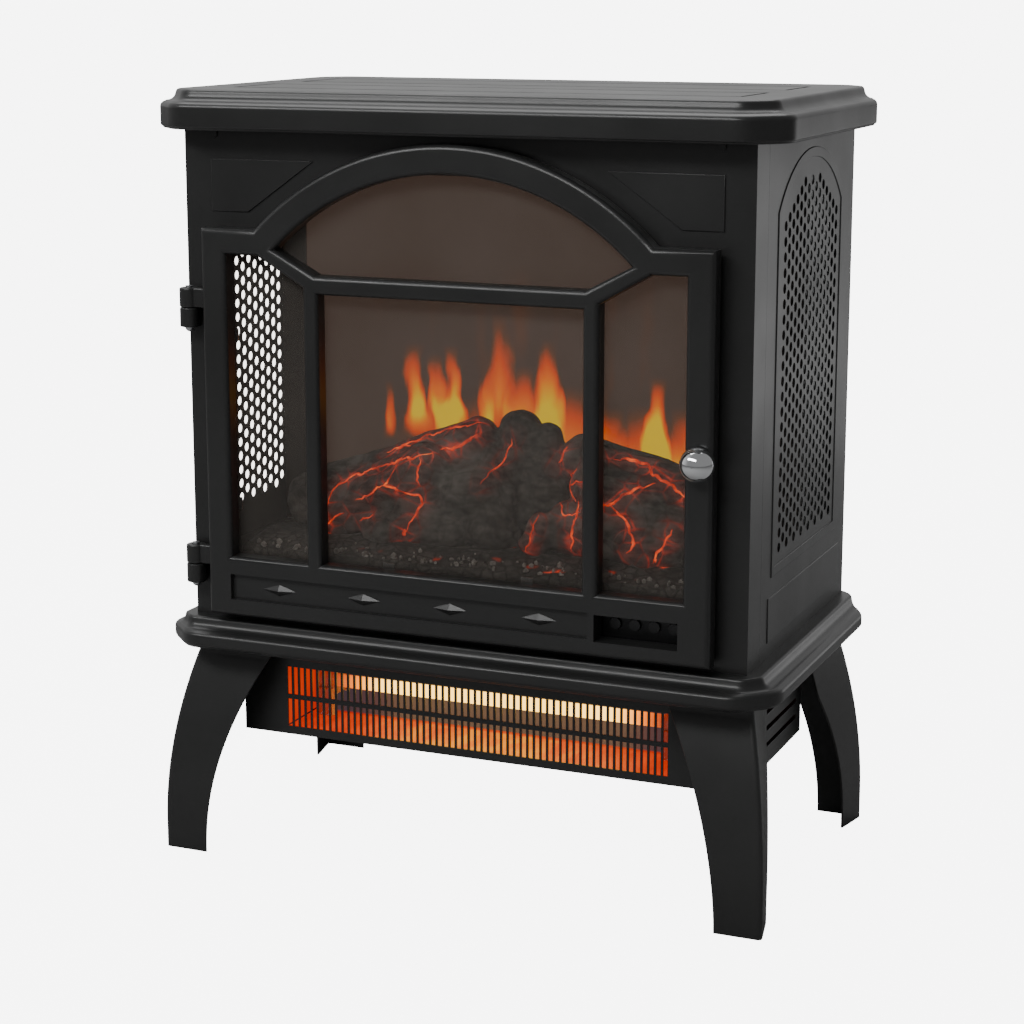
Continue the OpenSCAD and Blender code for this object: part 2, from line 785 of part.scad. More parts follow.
top_plate();
base_plate();
front_panel();
left_side_panel();
right_side_panel();
rear_panel();
panel_screws();
firebox_floor();
firebox_ceiling();
screen_frame();
flame_screen();
flame_box();
ember_bed();
log_set();
flame_spindle();
spindle_motor();
spindle_bush();
led_boards();
leds();
door_frame();
door_glass();
glass_clips();
glass_clip_screws();
door_knob();
knob_screw();
door_hinge_knuckles();
body_hinge_brackets();
hinge_pins();
strike_plate();
magnet_catch();
control_panel();
power_button();
heat_button();
flame_button();
timer_button();
control_board();
tact_switches();
remote_receiver();
heater_housing();
heater_grille();
reflector();
quartz_tubes();
filaments();
tube_holders();
blower_scroll();
blower_impeller();
blower_motor();
blower_bush();
thermal_cutout();
tip_switch_case();
tip_pendulum();
terminal_block();
cord_gland();
leg_front_left();
leg_front_right();
leg_rear_left();
leg_rear_right();
leg_screws();
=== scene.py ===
"""Looks of a free-standing electric fireplace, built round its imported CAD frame."""
import json
import math
import random

import bmesh
import bpy
from bpy.props import FloatProperty, FloatVectorProperty, IntProperty, PointerProperty
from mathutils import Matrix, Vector, noise
from mathutils.bvhtree import BVHTree
from mathutils.kdtree import KDTree

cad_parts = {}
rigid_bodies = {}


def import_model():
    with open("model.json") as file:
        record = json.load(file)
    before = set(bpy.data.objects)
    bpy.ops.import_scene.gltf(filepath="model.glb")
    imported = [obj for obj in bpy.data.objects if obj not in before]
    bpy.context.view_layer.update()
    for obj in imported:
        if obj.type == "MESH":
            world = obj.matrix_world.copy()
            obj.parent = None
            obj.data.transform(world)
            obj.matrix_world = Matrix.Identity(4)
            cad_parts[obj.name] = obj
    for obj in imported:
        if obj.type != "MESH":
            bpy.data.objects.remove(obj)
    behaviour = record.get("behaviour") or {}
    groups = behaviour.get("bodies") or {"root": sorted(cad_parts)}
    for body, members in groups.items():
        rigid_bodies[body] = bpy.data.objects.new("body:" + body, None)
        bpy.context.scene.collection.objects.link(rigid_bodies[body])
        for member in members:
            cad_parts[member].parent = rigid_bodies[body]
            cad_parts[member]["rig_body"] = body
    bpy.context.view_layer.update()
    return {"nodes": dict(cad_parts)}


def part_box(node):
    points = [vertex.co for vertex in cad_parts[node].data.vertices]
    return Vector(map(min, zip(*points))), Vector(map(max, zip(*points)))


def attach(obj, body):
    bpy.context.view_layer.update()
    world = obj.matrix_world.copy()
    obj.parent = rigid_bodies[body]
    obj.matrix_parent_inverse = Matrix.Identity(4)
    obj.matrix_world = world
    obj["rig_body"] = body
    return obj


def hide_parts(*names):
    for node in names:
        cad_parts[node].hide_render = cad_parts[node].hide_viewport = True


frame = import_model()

bl_info = {
    "name": "Electric fireplace looks",
    "version": (1, 0, 0),
    "blender": (4, 5, 0),
    "location": "3D View > Sidebar > Fireplace",
    "description": "Finishes, moulded plates, logs, flames and studio for an electric fireplace",
    "category": "Object",
}

MM = 0.001
CABINET = "cabinet"
DOOR = "door"
STEEL = "black_powder_coat"

plate_low, plate_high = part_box("top_plate")
base_low, base_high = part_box("base_plate")
panel_low, panel_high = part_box("front_panel")
rear_low, rear_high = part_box("rear_panel")
door_low, door_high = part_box("door_frame")
screen_low, screen_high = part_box("flame_screen")
bed_low, bed_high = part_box("ember_bed")
grille_low, grille_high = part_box("heater_grille")
tube_low, tube_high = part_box("quartz_tubes")

BODY_HALF = panel_high.x
FACE_Y = panel_high.y - 31 * MM
BACK_Y = rear_high.y


# ---------- values a user would change ----------

def colour(name, description, default):
    return FloatVectorProperty(name=name, description=description, default=default, size=3,
                               min=0.0, max=1.0, subtype="COLOR")


def length(name, description, default):
    return FloatProperty(name=name, description=description, default=default, min=0.0,
                         unit="LENGTH", precision=4)


def factor(name, description, default, high=1.0):
    return FloatProperty(name=name, description=description, default=default, min=0.0, max=high)


class StoveFinish(bpy.types.PropertyGroup):
    coat: colour("Powder coat", "Colour of the black coat", (0.019, 0.0192, 0.019))
    coat_rough: factor("Coat roughness", "Roughness of the black coat", 0.34)
    surround: colour("Surround", "Paint round the flame screen", (0.085, 0.075, 0.068))
    log_dark: colour("Charcoal", "Dark colour of the logs", (0.062, 0.060, 0.056))
    log_ash: colour("Ash", "Light colour of the logs", (0.30, 0.29, 0.27))


class StoveShape(bpy.types.PropertyGroup):
    corner_cut: length("Corner cut", "Length cut off the plates' corners", 29 * MM)
    corner_round: length("Corner round", "Radius where a cut meets an edge", 24 * MM)
    plate_wall: length("Plate wall", "Thickness of the plates", 1.5 * MM)
    groove: length("Groove", "Width of the grooves in the top", 3.2 * MM)
    door_edge: length("Door edge", "Radius of the door's edges", 4.6 * MM)
    leg_fold: length("Leg fold", "Outer radius of a leg's fold", 5 * MM)


class StoveFire(bpy.types.PropertyGroup):
    flame: factor("Flames", "Brightness of the flame picture", 0.95, 20.0)
    crack: factor("Cracks", "Brightness of the glowing cracks", 1.1, 50.0)
    tube: factor("Tubes", "Brightness of the heater's tubes", 4.5, 100.0)
    shards: IntProperty(name="Crystals", description="Glass crystals on the embers",
                        default=110, min=0, max=400)


class StoveStudio(bpy.types.PropertyGroup):
    azimuth: FloatProperty(name="Azimuth", description="Camera's turn to the right",
                           default=math.radians(22.8), subtype="ANGLE")
    elevation: FloatProperty(name="Elevation", description="Camera's height angle",
                             default=math.radians(11.49), subtype="ANGLE")
    distance: length("Distance", "Camera's distance from its target", 1.968)
    lens: FloatProperty(name="Lens", description="Focal length in millimetres", default=82.68)
    target_z: length("Target height", "Height that the camera points at", 0.327)
    shift: FloatProperty(name="Shift", description="Vertical lens shift", default=-0.05)
    backdrop: factor("Backdrop", "Brightness behind and beside the object", 0.84, 4.0)
    dark_side: factor("Dark side", "Brightness of the room behind the camera", 0.30, 4.0)


def stove():
    return bpy.context.scene.stove


# ---------- materials ----------

class Shade:
    """One node material while it is built."""

    def __init__(self, name):
        self.material = bpy.data.materials.new(name)
        self.material.use_nodes = True
        self.tree = self.material.node_tree
        self.tree.nodes.clear()
        self.place = self.node("TexCoord").outputs["Object"]

    def node(self, kind, inputs=None, **settings):
        made = self.tree.nodes.new("ShaderNode" + kind)
        for key, value in settings.items():
            setattr(made, key, value)
        for key, value in (inputs or {}).items():
            if isinstance(value, bpy.types.NodeSocket):
                self.tree.links.new(value, made.inputs[key])
            else:
                made.inputs[key].default_value = value
        return made

    def math(self, operation, a, b=0.0, clamp=False):
        return self.node("Math", {0: a, 1: b}, operation=operation, use_clamp=clamp).outputs[0]

    def span(self, value, low, high, to_low=0.0, to_high=1.0):
        inputs = {"Value": value, "From Min": low, "From Max": high, "To Min": to_low, "To Max": to_high}
        return self.node("MapRange", inputs).outputs[0]

    def noise(self, scale, detail=2.0, stretch=(1, 1, 1), place=None):
        moved = self.node("Mapping", {"Vector": place or self.place, "Scale": stretch})
        inputs = {"Vector": moved.outputs[0], "Scale": scale, "Detail": detail}
        return self.node("TexNoise", inputs).outputs[0]

    def cracks(self, scale, place=None):
        inputs = {"Vector": place or self.place, "Scale": scale}
        return self.node("TexVoronoi", inputs, feature="DISTANCE_TO_EDGE").outputs["Distance"]

    def blend(self, share, dark, light):
        made = self.node("Mix", {0: share}, data_type="RGBA")
        for socket, value in ((made.inputs[6], dark), (made.inputs[7], light)):
            if isinstance(value, bpy.types.NodeSocket):
                self.tree.links.new(value, socket)
            else:
                socket.default_value = (*value, 1)
        return made.outputs[2]

    def ramp(self, share, stops):
        made = self.node("ValToRGB", {0: share})
        points = made.color_ramp.elements
        while len(points) < len(stops):
            points.new(1.0)
        for point, (at, shade) in zip(points, stops):
            point.position = at
            point.color = (*shade, 1)
        return made.outputs[0]

    def axes(self, place=None):
        return self.node("SeparateXYZ", {0: place or self.place}).outputs

    def bump(self, height, strength, depth):
        inputs = {"Height": height, "Strength": strength, "Distance": depth}
        return self.node("Bump", inputs).outputs[0]

    def principled(self, base, rough, **inputs):
        made = self.node("BsdfPrincipled", {key.replace("_", " "): value for key, value in inputs.items()})
        for key, value in (("Base Color", base), ("Roughness", rough)):
            if isinstance(value, bpy.types.NodeSocket):
                self.tree.links.new(value, made.inputs[key])
            else:
                made.inputs[key].default_value = (*value, 1) if key == "Base Color" else value
        return made.outputs[0]

    def done(self, surface):
        self.node("OutputMaterial", {"Surface": surface})
        return self.material


def scaled(shade, by):
    return tuple(min(1.0, channel * by) for channel in shade)


def powder_coat(name, base, rough):
    """Satin coat with a fine orange-peel grain and faint patches."""
    s = Shade(name)
    patch = s.noise(11, 3)
    grain = s.noise(1500, 2)
    peel = s.noise(340, 2)
    height = s.math("ADD", s.math("MULTIPLY", grain, 0.4), peel)
    tone = s.blend(patch, scaled(base, 0.8), scaled(base, 1.25))
    return s.done(s.principled(tone, s.span(patch, 0.3, 0.7, rough - 0.04, rough + 0.05),
                               Specular_IOR_Level=0.5, Normal=s.bump(height, 0.22, 0.00012)))


def brushed(name, base, rough, metallic=1.0, stretch=(1, 40, 40)):
    """Metal with fine drawn lines and cloudy wear."""
    s = Shade(name)
    lines = s.noise(60, 3, stretch)
    cloud = s.noise(25, 4)
    tone = s.blend(cloud, scaled(base, 0.78), scaled(base, 1.1))
    return s.done(s.principled(tone, s.span(lines, 0.3, 0.7, rough - 0.06, rough + 0.10),
                               Metallic=metallic, Normal=s.bump(lines, 0.10, 0.0001)))


def spangled(name, base, rough):
    """Galvanised sheet with its crystal pattern."""
    s = Shade(name)
    cell = s.node("TexVoronoi", {"Vector": s.place, "Scale": 160.0}).outputs["Color"]
    flake = s.node("SeparateColor", {0: cell}).outputs[0]
    tone = s.blend(flake, scaled(base, 0.75), scaled(base, 1.05))
    return s.done(s.principled(tone, s.span(flake, 0, 1, rough - 0.08, rough + 0.12), Metallic=1.0))


def chrome(name, base):
    s = Shade(name)
    smear = s.noise(90, 3)
    return s.done(s.principled(base, s.span(smear, 0.4, 0.8, 0.03, 0.09), Metallic=1.0))


def moulded(name, base, rough, grain=900):
    """Moulded plastic or ceramic with a fine grain."""
    s = Shade(name)
    fine = s.noise(grain, 2)
    cloud = s.noise(30, 3)
    tone = s.blend(cloud, scaled(base, 0.85), scaled(base, 1.12))
    return s.done(s.principled(tone, s.span(cloud, 0.3, 0.7, rough - 0.05, rough + 0.05),
                               Normal=s.bump(fine, 0.15, 0.0001)))


def circuit_board(name, base):
    s = Shade(name)
    track = s.math("LESS_THAN", s.cracks(260), 0.03)
    tone = s.blend(track, base, (0.10, 0.30, 0.12))
    return s.done(s.principled(tone, 0.35, Normal=s.bump(track, 0.4, 0.0002)))


def lamp(name, base, strength):
    """Small glowing part with a faintly mottled glow."""
    s = Shade(name)
    glow = s.blend(s.noise(300, 1), scaled(base, 0.8), base)
    return s.done(s.principled(base, 0.3, Emission_Color=glow, Emission_Strength=strength))


def window_glass(name):
    """Lightly smoked flat glass: clear, with a mirror sheen and a thin grey film that is partly dust and partly
    painted haze.
    """
    s = Shade(name)
    dust_and_haze = s.noise(14, 4)
    # The film's grey colour is partly dust and partly painted haze standing in for room light reflected in the
    # glass.
    film = s.principled((0.35, 0.32, 0.29), 0.08, Specular_IOR_Level=0.5)
    clear = s.node("BsdfTransparent", {"Color": (0.86, 0.84, 0.82, 1)}).outputs[0]
    share = s.math("ADD", s.node("Fresnel", {"IOR": 1.3}).outputs[0], s.span(dust_and_haze, 0.3, 0.7, 0.05, 0.09))
    return s.done(s.node("MixShader", {0: share, 1: clear, 2: film}).outputs[0])


def hot_quartz(name, strength):
    """Quartz tube lit by its filament, whiter in the middle than at its ends."""
    s = Shade(name)
    x = s.math("ABSOLUTE", s.axes()[0])
    glow_share = s.span(x, 0.105, 0.150, 1.0, 0.12)
    shade = s.ramp(glow_share, [(0.0, (0.9, 0.06, 0.0)), (0.55, (1, 0.26, 0.0)), (1.0, (1, 0.60, 0.10))])
    power = s.math("MULTIPLY", s.math("POWER", glow_share, 1.5), strength)
    return s.done(s.principled((0.9, 0.7, 0.4), 0.15, Emission_Color=shade, Emission_Strength=power))


def trough_with_painted_glow(name, base):
    """Dark trough with a painted glow on its lower half, standing in for the tubes' light reflected in it."""
    s = Shade(name)
    x, y, _ = s.axes()
    middle = s.span(s.math("ABSOLUTE", x), 0.02, 0.165, 1.0, 0.0)
    low = s.span(y, -37 * MM, -43 * MM)
    ripple = s.span(s.noise(70, 2, (1, 0.4, 0.4)), 0.35, 0.65, 0.7, 1.15)
    # Painted reflection of the tubes: the trough glows most low down and near its middle, though it is no lamp.
    glow_share = s.math("MULTIPLY", s.math("MULTIPLY", low, ripple), s.span(middle, 0, 1, 0.30, 1.0))
    shade = s.ramp(glow_share, [(0.0, (0.10, 0.065, 0.08)), (0.2, (0.8, 0.02, 0.0)),
                          (0.6, (1, 0.07, 0.0)), (1.0, (1, 0.26, 0.0))])
    return s.done(s.principled(base, 0.45, Emission_Color=shade, Specular_IOR_Level=0.2,
                               Emission_Strength=s.span(glow_share, 0, 1, 0.6, 1.25)))


def flame_picture(name, strength):
    """Frosted sheet with soft flames and a painted dull brown glow over all of it: each tongue is [x, base z,
    height, half width, power].
    """
    tongues = [
        (-135, 330, 52, 10, 0.60), (-106, 334, 82, 14, 1.05), (-88, 344, 64, 9, 0.80),
        (-76, 340, 76, 10, 1.05), (-84, 330, 42, 13, 0.70), (-46, 336, 54, 14, 0.80),
        (-30, 340, 106, 19, 0.66), (-8, 342, 60, 20, 0.72), (16, 330, 96, 19, 1.15),
        (36, 320, 68, 24, 0.60), (66, 312, 60, 26, 0.66), (109, 312, 88, 21, 1.5),
        (104, 300, 76, 42, 0.80), (142, 306, 70, 24, 0.75), (-60, 320, 52, 64, 0.34),
    ]
    s = Shade(name)
    x, _, z = s.axes()
    lick = s.span(s.noise(26, 2, (1, 1, 0.45)), 0.2, 0.8, -0.011, 0.011)
    flick = s.span(s.noise(75, 2, (1, 1, 0.35)), 0.2, 0.8, -0.004, 0.004)
    across = s.math("ADD", x, s.math("ADD", lick, flick))
    total = 0.0
    for centre, base, high, half, power in tongues:
        rise = s.span(z, base * MM, (base + high) * MM)
        off = s.math("SUBTRACT", across, centre * MM)
        wide = s.math("DIVIDE", off, s.span(rise, 0, 1, half * MM, half * 0.5 * MM))
        body = s.math("SUBTRACT", 1.0, s.math("MULTIPLY", wide, wide), clamp=True)
        fade = s.math("MULTIPLY", s.span(rise, 0.0, 0.25), s.span(rise, 1.0, 0.35))
        tongue = s.math("MULTIPLY", s.math("MULTIPLY", body, fade), power)
        total = s.math("ADD", total, tongue)
    streak = s.span(s.noise(34, 3, (1, 1, 0.22)), 0.55, 0.8, 0.0, 0.22)
    halo = s.math("MULTIPLY", s.span(z, 0.49, 0.36), s.span(x, -0.17, -0.05))
    total = s.math("ADD", total, s.math("MULTIPLY", streak, halo), clamp=True)
    # The first stop and the least power of 0.75 make the whole sheet glow dull brown: painted haze standing in for
    # light that the smoked glass reflects.
    shade = s.ramp(total, [(0.0, (0.085, 0.055, 0.043)), (0.12, (0.17, 0.060, 0.025)),
                           (0.35, (0.85, 0.08, 0.0)), (0.60, (1, 0.20, 0.0)),
                           (0.80, (1, 0.42, 0.0)), (1.0, (1, 0.68, 0.0))])
    power = s.span(total, 0.0, 0.6, 0.75, strength)
    return s.done(s.principled((0.06, 0.05, 0.045), 0.55, Emission_Color=shade, Emission_Strength=power))


def charred_wood(name, dark, ash, strength):
    """Cast logs: charcoal with patches of ash and a red glow near the cracks."""
    s = Shade(name)
    bark = s.noise(160, 5, (0.5, 1, 1))
    patch = s.noise(28, 4)
    crazing = s.cracks(60)
    tone = s.blend(s.span(bark, 0.35, 0.72), dark, scaled(ash, 0.55))
    tone = s.blend(s.span(patch, 0.50, 0.75), tone, ash)
    tone = s.blend(s.span(crazing, 0.0, 0.05, 0.30, 0.0), tone, scaled(dark, 0.5))
    near = s.node("Attribute", attribute_name="glow").outputs["Fac"]
    veins = s.span(crazing, 0.0, 0.07, 1.0, 0.22)
    glow_share = s.math("MULTIPLY", s.math("MULTIPLY", near, veins), s.span(bark, 0.3, 0.7, 0.5, 1.2))
    shade = s.ramp(glow_share, [(0.0, (0.30, 0.012, 0.0)), (0.5, (0.8, 0.03, 0.002)), (1.0, (1, 0.08, 0.006))])
    height = s.math("ADD", bark, s.span(crazing, 0.0, 0.12, 0.0, 0.4))
    return s.done(s.principled(tone, 0.85, Emission_Color=shade, Normal=s.bump(height, 0.6, 0.0012),
                               Emission_Strength=s.math("MULTIPLY", glow_share, strength * 0.85)))


def glowing_crack(name, strength):
    s = Shade(name)
    flow = s.noise(110, 3)
    shade = s.ramp(flow, [(0.35, (0.7, 0.025, 0.003)), (0.55, (1, 0.07, 0.006)), (0.75, (1, 0.20, 0.03))])
    power = s.math("MULTIPLY", s.span(flow, 0.3, 0.75, 0.35, 1.5), strength)
    return s.done(s.principled((0.3, 0.05, 0.02), 0.6, Emission_Color=shade, Emission_Strength=power))


def ember_bed(name, dark, ash, strength):
    """Cast bed of coals, dark and ashy, with a few places that still glow."""
    s = Shade(name)
    lumps = s.cracks(95)
    cloud = s.noise(40, 4)
    tone = s.blend(s.span(cloud, 0.35, 0.7), scaled(dark, 0.8), scaled(ash, 0.5))
    tone = s.blend(s.span(lumps, 0.0, 0.15, 0.8, 0.0), tone, scaled(dark, 0.35))
    inside = s.span(s.math("ABSOLUTE", s.axes()[0]), 0.175, 0.165)
    spots = s.math("MULTIPLY", s.span(s.noise(38, 1), 0.67, 0.77), inside)
    glow_share = s.math("MULTIPLY", spots, s.span(lumps, 0.0, 0.16, 1.0, 0.1))
    return s.done(s.principled(tone, 0.8, Emission_Color=(1, 0.06, 0.004, 1),
                               Normal=s.bump(cloud, 0.5, 0.001),
                               Emission_Strength=s.math("MULTIPLY", glow_share, strength)))


def crystal(name):
    s = Shade(name)
    frost = s.noise(500, 3)
    tone = s.blend(frost, (0.30, 0.30, 0.29), (0.62, 0.61, 0.58))
    return s.done(s.principled(tone, s.span(frost, 0.3, 0.7, 0.12, 0.45), Specular_IOR_Level=0.8))


def finishes():
    """Every record slot's material."""
    look, fire = stove().finish, stove().fire
    coat, dark, ash = tuple(look.coat), tuple(look.log_dark), tuple(look.log_ash)
    made = {
        STEEL: powder_coat("satin_black_coat", coat, look.coat_rough),
        "screen_surround_paint": powder_coat("surround_paint", tuple(look.surround), 0.7),
        "galvanised_sheet": spangled("galvanised_sheet", (0.42, 0.43, 0.43), 0.42),
        "bright_steel": brushed("zinc_plated_steel", (0.55, 0.56, 0.57), 0.30),
        "chrome": chrome("mirror_chrome", (0.84, 0.85, 0.86)),
        "polished_reflector": trough_with_painted_glow("trough_painted_glow", (0.022, 0.018, 0.021)),
        "flame_screen": flame_picture("flame_picture", fire.flame),
        "ember_resin": ember_bed("cast_embers", dark, ash, fire.crack),
        "log_resin": charred_wood("charred_logs", dark, ash, fire.crack),
        "door_glass": window_glass("smoked_glass"),
        "quartz": hot_quartz("hot_quartz", fire.tube),
        "glowing_wire": lamp("glowing_wire", (1, 0.62, 0.25), fire.tube * 1.5),
        "ceramic": moulded("unglazed_ceramic", (0.60, 0.57, 0.50), 0.75),
        "bearing_plastic": moulded("white_acetal", (0.55, 0.53, 0.48), 0.45),
        "motor_case": brushed("motor_case", (0.30, 0.31, 0.32), 0.40),
        "circuit_board": circuit_board("green_board", (0.02, 0.12, 0.04)),
        "led_emitters": lamp("led_emitters", (1, 0.62, 0.30), 3.0),
        "black_plastic": moulded("black_plastic", (0.010, 0.010, 0.011), 0.42),
        "button_plastic": moulded("button_plastic", (0.022, 0.022, 0.024), 0.30),
        "receiver_lens": moulded("infrared_lens", (0.05, 0.004, 0.008), 0.12),
        "impeller_metal": brushed("impeller_metal", (0.50, 0.51, 0.52), 0.35),
    }
    return made


# ---------- mesh helpers ----------

def finish_of(slot_name):
    return bpy.data.materials[bpy.context.scene["finish_names"][slot_name]]


def add_piece(name, mesh, body, slot_name, stands_for=(), smooth=32, material=None):
    """Links a mesh as a piece that rides on a body and may stand for CAD nodes."""
    piece = bpy.data.objects.new(name, mesh)
    bpy.context.scene.collection.objects.link(piece)
    mesh.materials.clear()
    mesh.materials.append(material or finish_of(slot_name))
    mesh.shade_smooth()
    mesh.set_sharp_from_angle(angle=math.radians(smooth))
    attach(piece, body)
    if stands_for:
        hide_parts(*stands_for)
    return piece


def flat_shading(piece):
    """Keeps broad flat faces flat beside small rounded ones."""
    weigh = piece.modifiers.new("even normals", "WEIGHTED_NORMAL")
    weigh.keep_sharp = True
    weigh.weight = 80


def clean_copy(node):
    """The CAD node's shape with its flat faces whole."""
    shape = bmesh.new()
    shape.from_mesh(frame["nodes"][node].data)
    bmesh.ops.remove_doubles(shape, verts=shape.verts, dist=2e-6)
    bmesh.ops.dissolve_limit(shape, angle_limit=math.radians(0.6), verts=shape.verts, edges=shape.edges)
    return shape


def round_edges(shape, radius, pick, segments=3, least_angle=40):
    """Rounds the outer edges that pick() accepts."""
    chosen = [e for e in shape.edges if e.is_manifold and e.is_convex
              and e.calc_face_angle(0) > math.radians(least_angle) and pick(e)]
    bmesh.ops.bevel(shape, geom=chosen, offset=radius, offset_type="OFFSET", segments=segments,
                    profile=0.5, affect="EDGES", clamp_overlap=True)


def to_mesh(shape, name):
    mesh = bpy.data.meshes.new(name)
    bmesh.ops.recalc_face_normals(shape, faces=shape.faces)
    shape.to_mesh(mesh)
    shape.free()
    return mesh


def refined(node, passes, slot_name, name=None):
    """A piece that stands for a CAD node with rounded edges: passes are (radius, pick) pairs."""
    shape = clean_copy(node)
    for radius, pick in passes:
        round_edges(shape, radius, pick)
    name = name or node + "_piece"
    piece = add_piece(name, to_mesh(shape, name), frame["nodes"][node]["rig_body"], slot_name, (node,))
    flat_shading(piece)
    return piece


def middle(edge):
    return (edge.verts[0].co + edge.verts[1].co) / 2


def any_edge(edge):
    return True


def on_y(level, slack=0.2 * MM):
    return lambda e: all(abs(v.co.y - level) < slack for v in e.verts)


def on_x(level, slack=0.2 * MM):
    return lambda e: all(abs(abs(v.co.x) - level) < slack for v in e.verts)


def loft(rings, name, cap_first=True, cap_last=True, loop=False):
    """A closed skin through rings of the same number of points."""
    shape = bmesh.new()
    verts = [[shape.verts.new(p) for p in ring] for ring in rings]
    count = len(rings[0])
    pairs = list(zip(verts, verts[1:])) + ([(verts[-1], verts[0])] if loop else [])
    for low, high in pairs:
        for i in range(count):
            j = (i + 1) % count
            shape.faces.new((low[i], low[j], high[j], high[i]))
    if cap_first and not loop:
        shape.faces.new(verts[0][::-1])
    if cap_last and not loop:
        shape.faces.new(verts[-1])
    return to_mesh(shape, name)


def arc(centre, radius, start, stop, steps):
    """Points of an arc, angles in degrees."""
    turn = [math.radians(start + (stop - start) * i / steps) for i in range(steps + 1)]
    return [(centre[0] + radius[0] * math.cos(t), centre[1] + radius[1] * math.sin(t)) for t in turn]


# ---------- plates ----------

def plate_outline(out, wall, back_out, cut):
    """Plate outline that stands "out" past the body, moved in by wall, with rounded corners."""
    side = BODY_HALF + out - wall
    front = FACE_Y - out + wall
    back = BACK_Y + back_out - wall
    cut -= 0.586 * wall
    corners = [(-side + cut, front), (side - cut, front), (side, front + cut), (side, back - cut),
               (side - cut, back), (-side + cut, back), (-side, back - cut), (-side, front + cut)]
    radius = min(stove().shape.corner_round, cut * 0.9)
    pull = radius * math.tan(math.radians(22.5))
    points = []
    for i, corner in enumerate(corners):
        here, before, after = (Vector(corners[k % 8]) for k in (i, i - 1, i + 1))
        start = here + (before - here).normalized() * pull
        stop = here + (after - here).normalized() * pull
        for step in range(5):
            t = step / 4
            points.append((1 - t) ** 2 * start + 2 * t * (1 - t) * here + t * t * stop)
    return points


def plate_rings(profile, wall, back_low, back_high, cut_high):
    """Rings of a plate: profile is (out, z) from the lip's foot to the flat."""
    outs = [out for out, _ in profile]
    widest, least = max(outs), profile[-1][0]
    rings = []
    for out, z in profile:
        share = (out - least) / (widest - least)
        back = back_high + (back_low - back_high) * share
        cut = cut_high + (stove().shape.corner_cut - cut_high) * share
        rings.append([Vector((p.x, p.y, z)) for p in plate_outline(out, wall, back, cut)])
    return rings


def moulded_plate(name, node, profile, back_low, back_high, cut_high):
    wall = stove().shape.plate_wall
    outer = plate_rings(profile, 0, back_low, back_high, cut_high)
    inner = plate_rings(profile, wall, back_low, back_high, cut_high)
    inner = [inner[0]] + [[p - Vector((0, 0, wall)) for p in ring] for ring in inner[1:]]
    mesh = loft(inner[::-1] + outer, name)
    return add_piece(name, mesh, CABINET, STEEL, (node,), smooth=38)


def top_profile():
    """Rounded foot, straight lip, rounded shoulder, cove and bead, up to the flat."""
    foot, flat = plate_low.z, plate_high.z
    lip = BODY_HALF - plate_high.x
    out = -lip
    return (arc((out - 2 * MM, foot + 2 * MM), (2 * MM, 2 * MM), -90, 0, 4)
            + arc((out - 4.5 * MM, foot + 15.5 * MM), (4.5 * MM, 4.5 * MM), 0, 80, 6)
            + arc((out - 4.5 * MM, foot + 27.0 * MM), (8 * MM, 6.4 * MM), -92, -170, 7)
            + arc((out - 16.4 * MM, flat - 3.2 * MM), (3.6 * MM, 3.2 * MM), 5, 90, 6))


def base_profile():
    foot, flat = base_low.z, base_high.z
    out = base_high.x - BODY_HALF
    return (arc((out - 4.5 * MM, foot + 4.5 * MM), (4.5 * MM, 4.5 * MM), -80, 0, 5)
            + arc((out - 4 * MM, foot + 9 * MM), (4 * MM, 3.6 * MM), 0, 80, 6)
            + arc((out - 4.5 * MM, foot + 20 * MM), (8.5 * MM, 6.6 * MM), -92, -165, 7)
            + arc((out - 16.8 * MM, flat - 3 * MM), (3.4 * MM, 3 * MM), 5, 90, 5))


def cut_grooves(piece):
    """Narrow grooves round the two long strips in the top."""
    shape = bmesh.new()
    groove = stove().shape.groove
    half = BODY_HALF - 24 * MM
    for near, far in ((38 * MM, 108 * MM), (155 * MM, 225 * MM)):
        loops = []
        for inset in (0, groove):
            for z in (plate_high.z - 1.2 * MM, plate_high.z + 2 * MM):
                x, y0, y1 = half - inset, FACE_Y + near + inset, FACE_Y + far - inset
                loops.append([shape.verts.new((a, b, z)) for a, b in ((-x, y0), (x, y0), (x, y1), (-x, y1))])
        low_out, high_out, low_in, high_in = loops
        for a, b in ((low_out, high_out), (high_in, low_in), (low_in, low_out), (high_out, high_in)):
            for i in range(4):
                j = (i + 1) % 4
                shape.faces.new((a[i], a[j], b[j], b[i]))
    cutter = bpy.data.objects.new("groove_cutter", to_mesh(shape, "groove_cutter"))
    bpy.context.scene.collection.objects.link(cutter)
    cut = piece.modifiers.new("grooves", "BOOLEAN")
    cut.object = cutter
    cut.solver = "EXACT"
    apply_modifiers(piece)
    bpy.data.objects.remove(cutter)
    piece.data.set_sharp_from_angle(angle=math.radians(38))


def apply_modifiers(piece):
    baked = bpy.data.meshes.new_from_object(piece.evaluated_get(bpy.context.evaluated_depsgraph_get()))
    piece.modifiers.clear()
    piece.data = baked


class STOVE_OT_plates(bpy.types.Operator):
    """Moulded top and base plates with rounded corners, and the grooves in the top"""
    bl_idname = "stove.plates"
    bl_label = "Plates"

    def execute(self, context):
        top = moulded_plate("moulded_top", "top_plate", top_profile(), 6 * MM, 1.8 * MM, 18 * MM)
        cut_grooves(top)
        flat_shading(top)
        base = moulded_plate("moulded_base", "base_plate", base_profile(), 6 * MM, 1.8 * MM, 8 * MM)
        flat_shading(base)
        return {"FINISHED"}


# ---------- cabinet, door and legs ----------

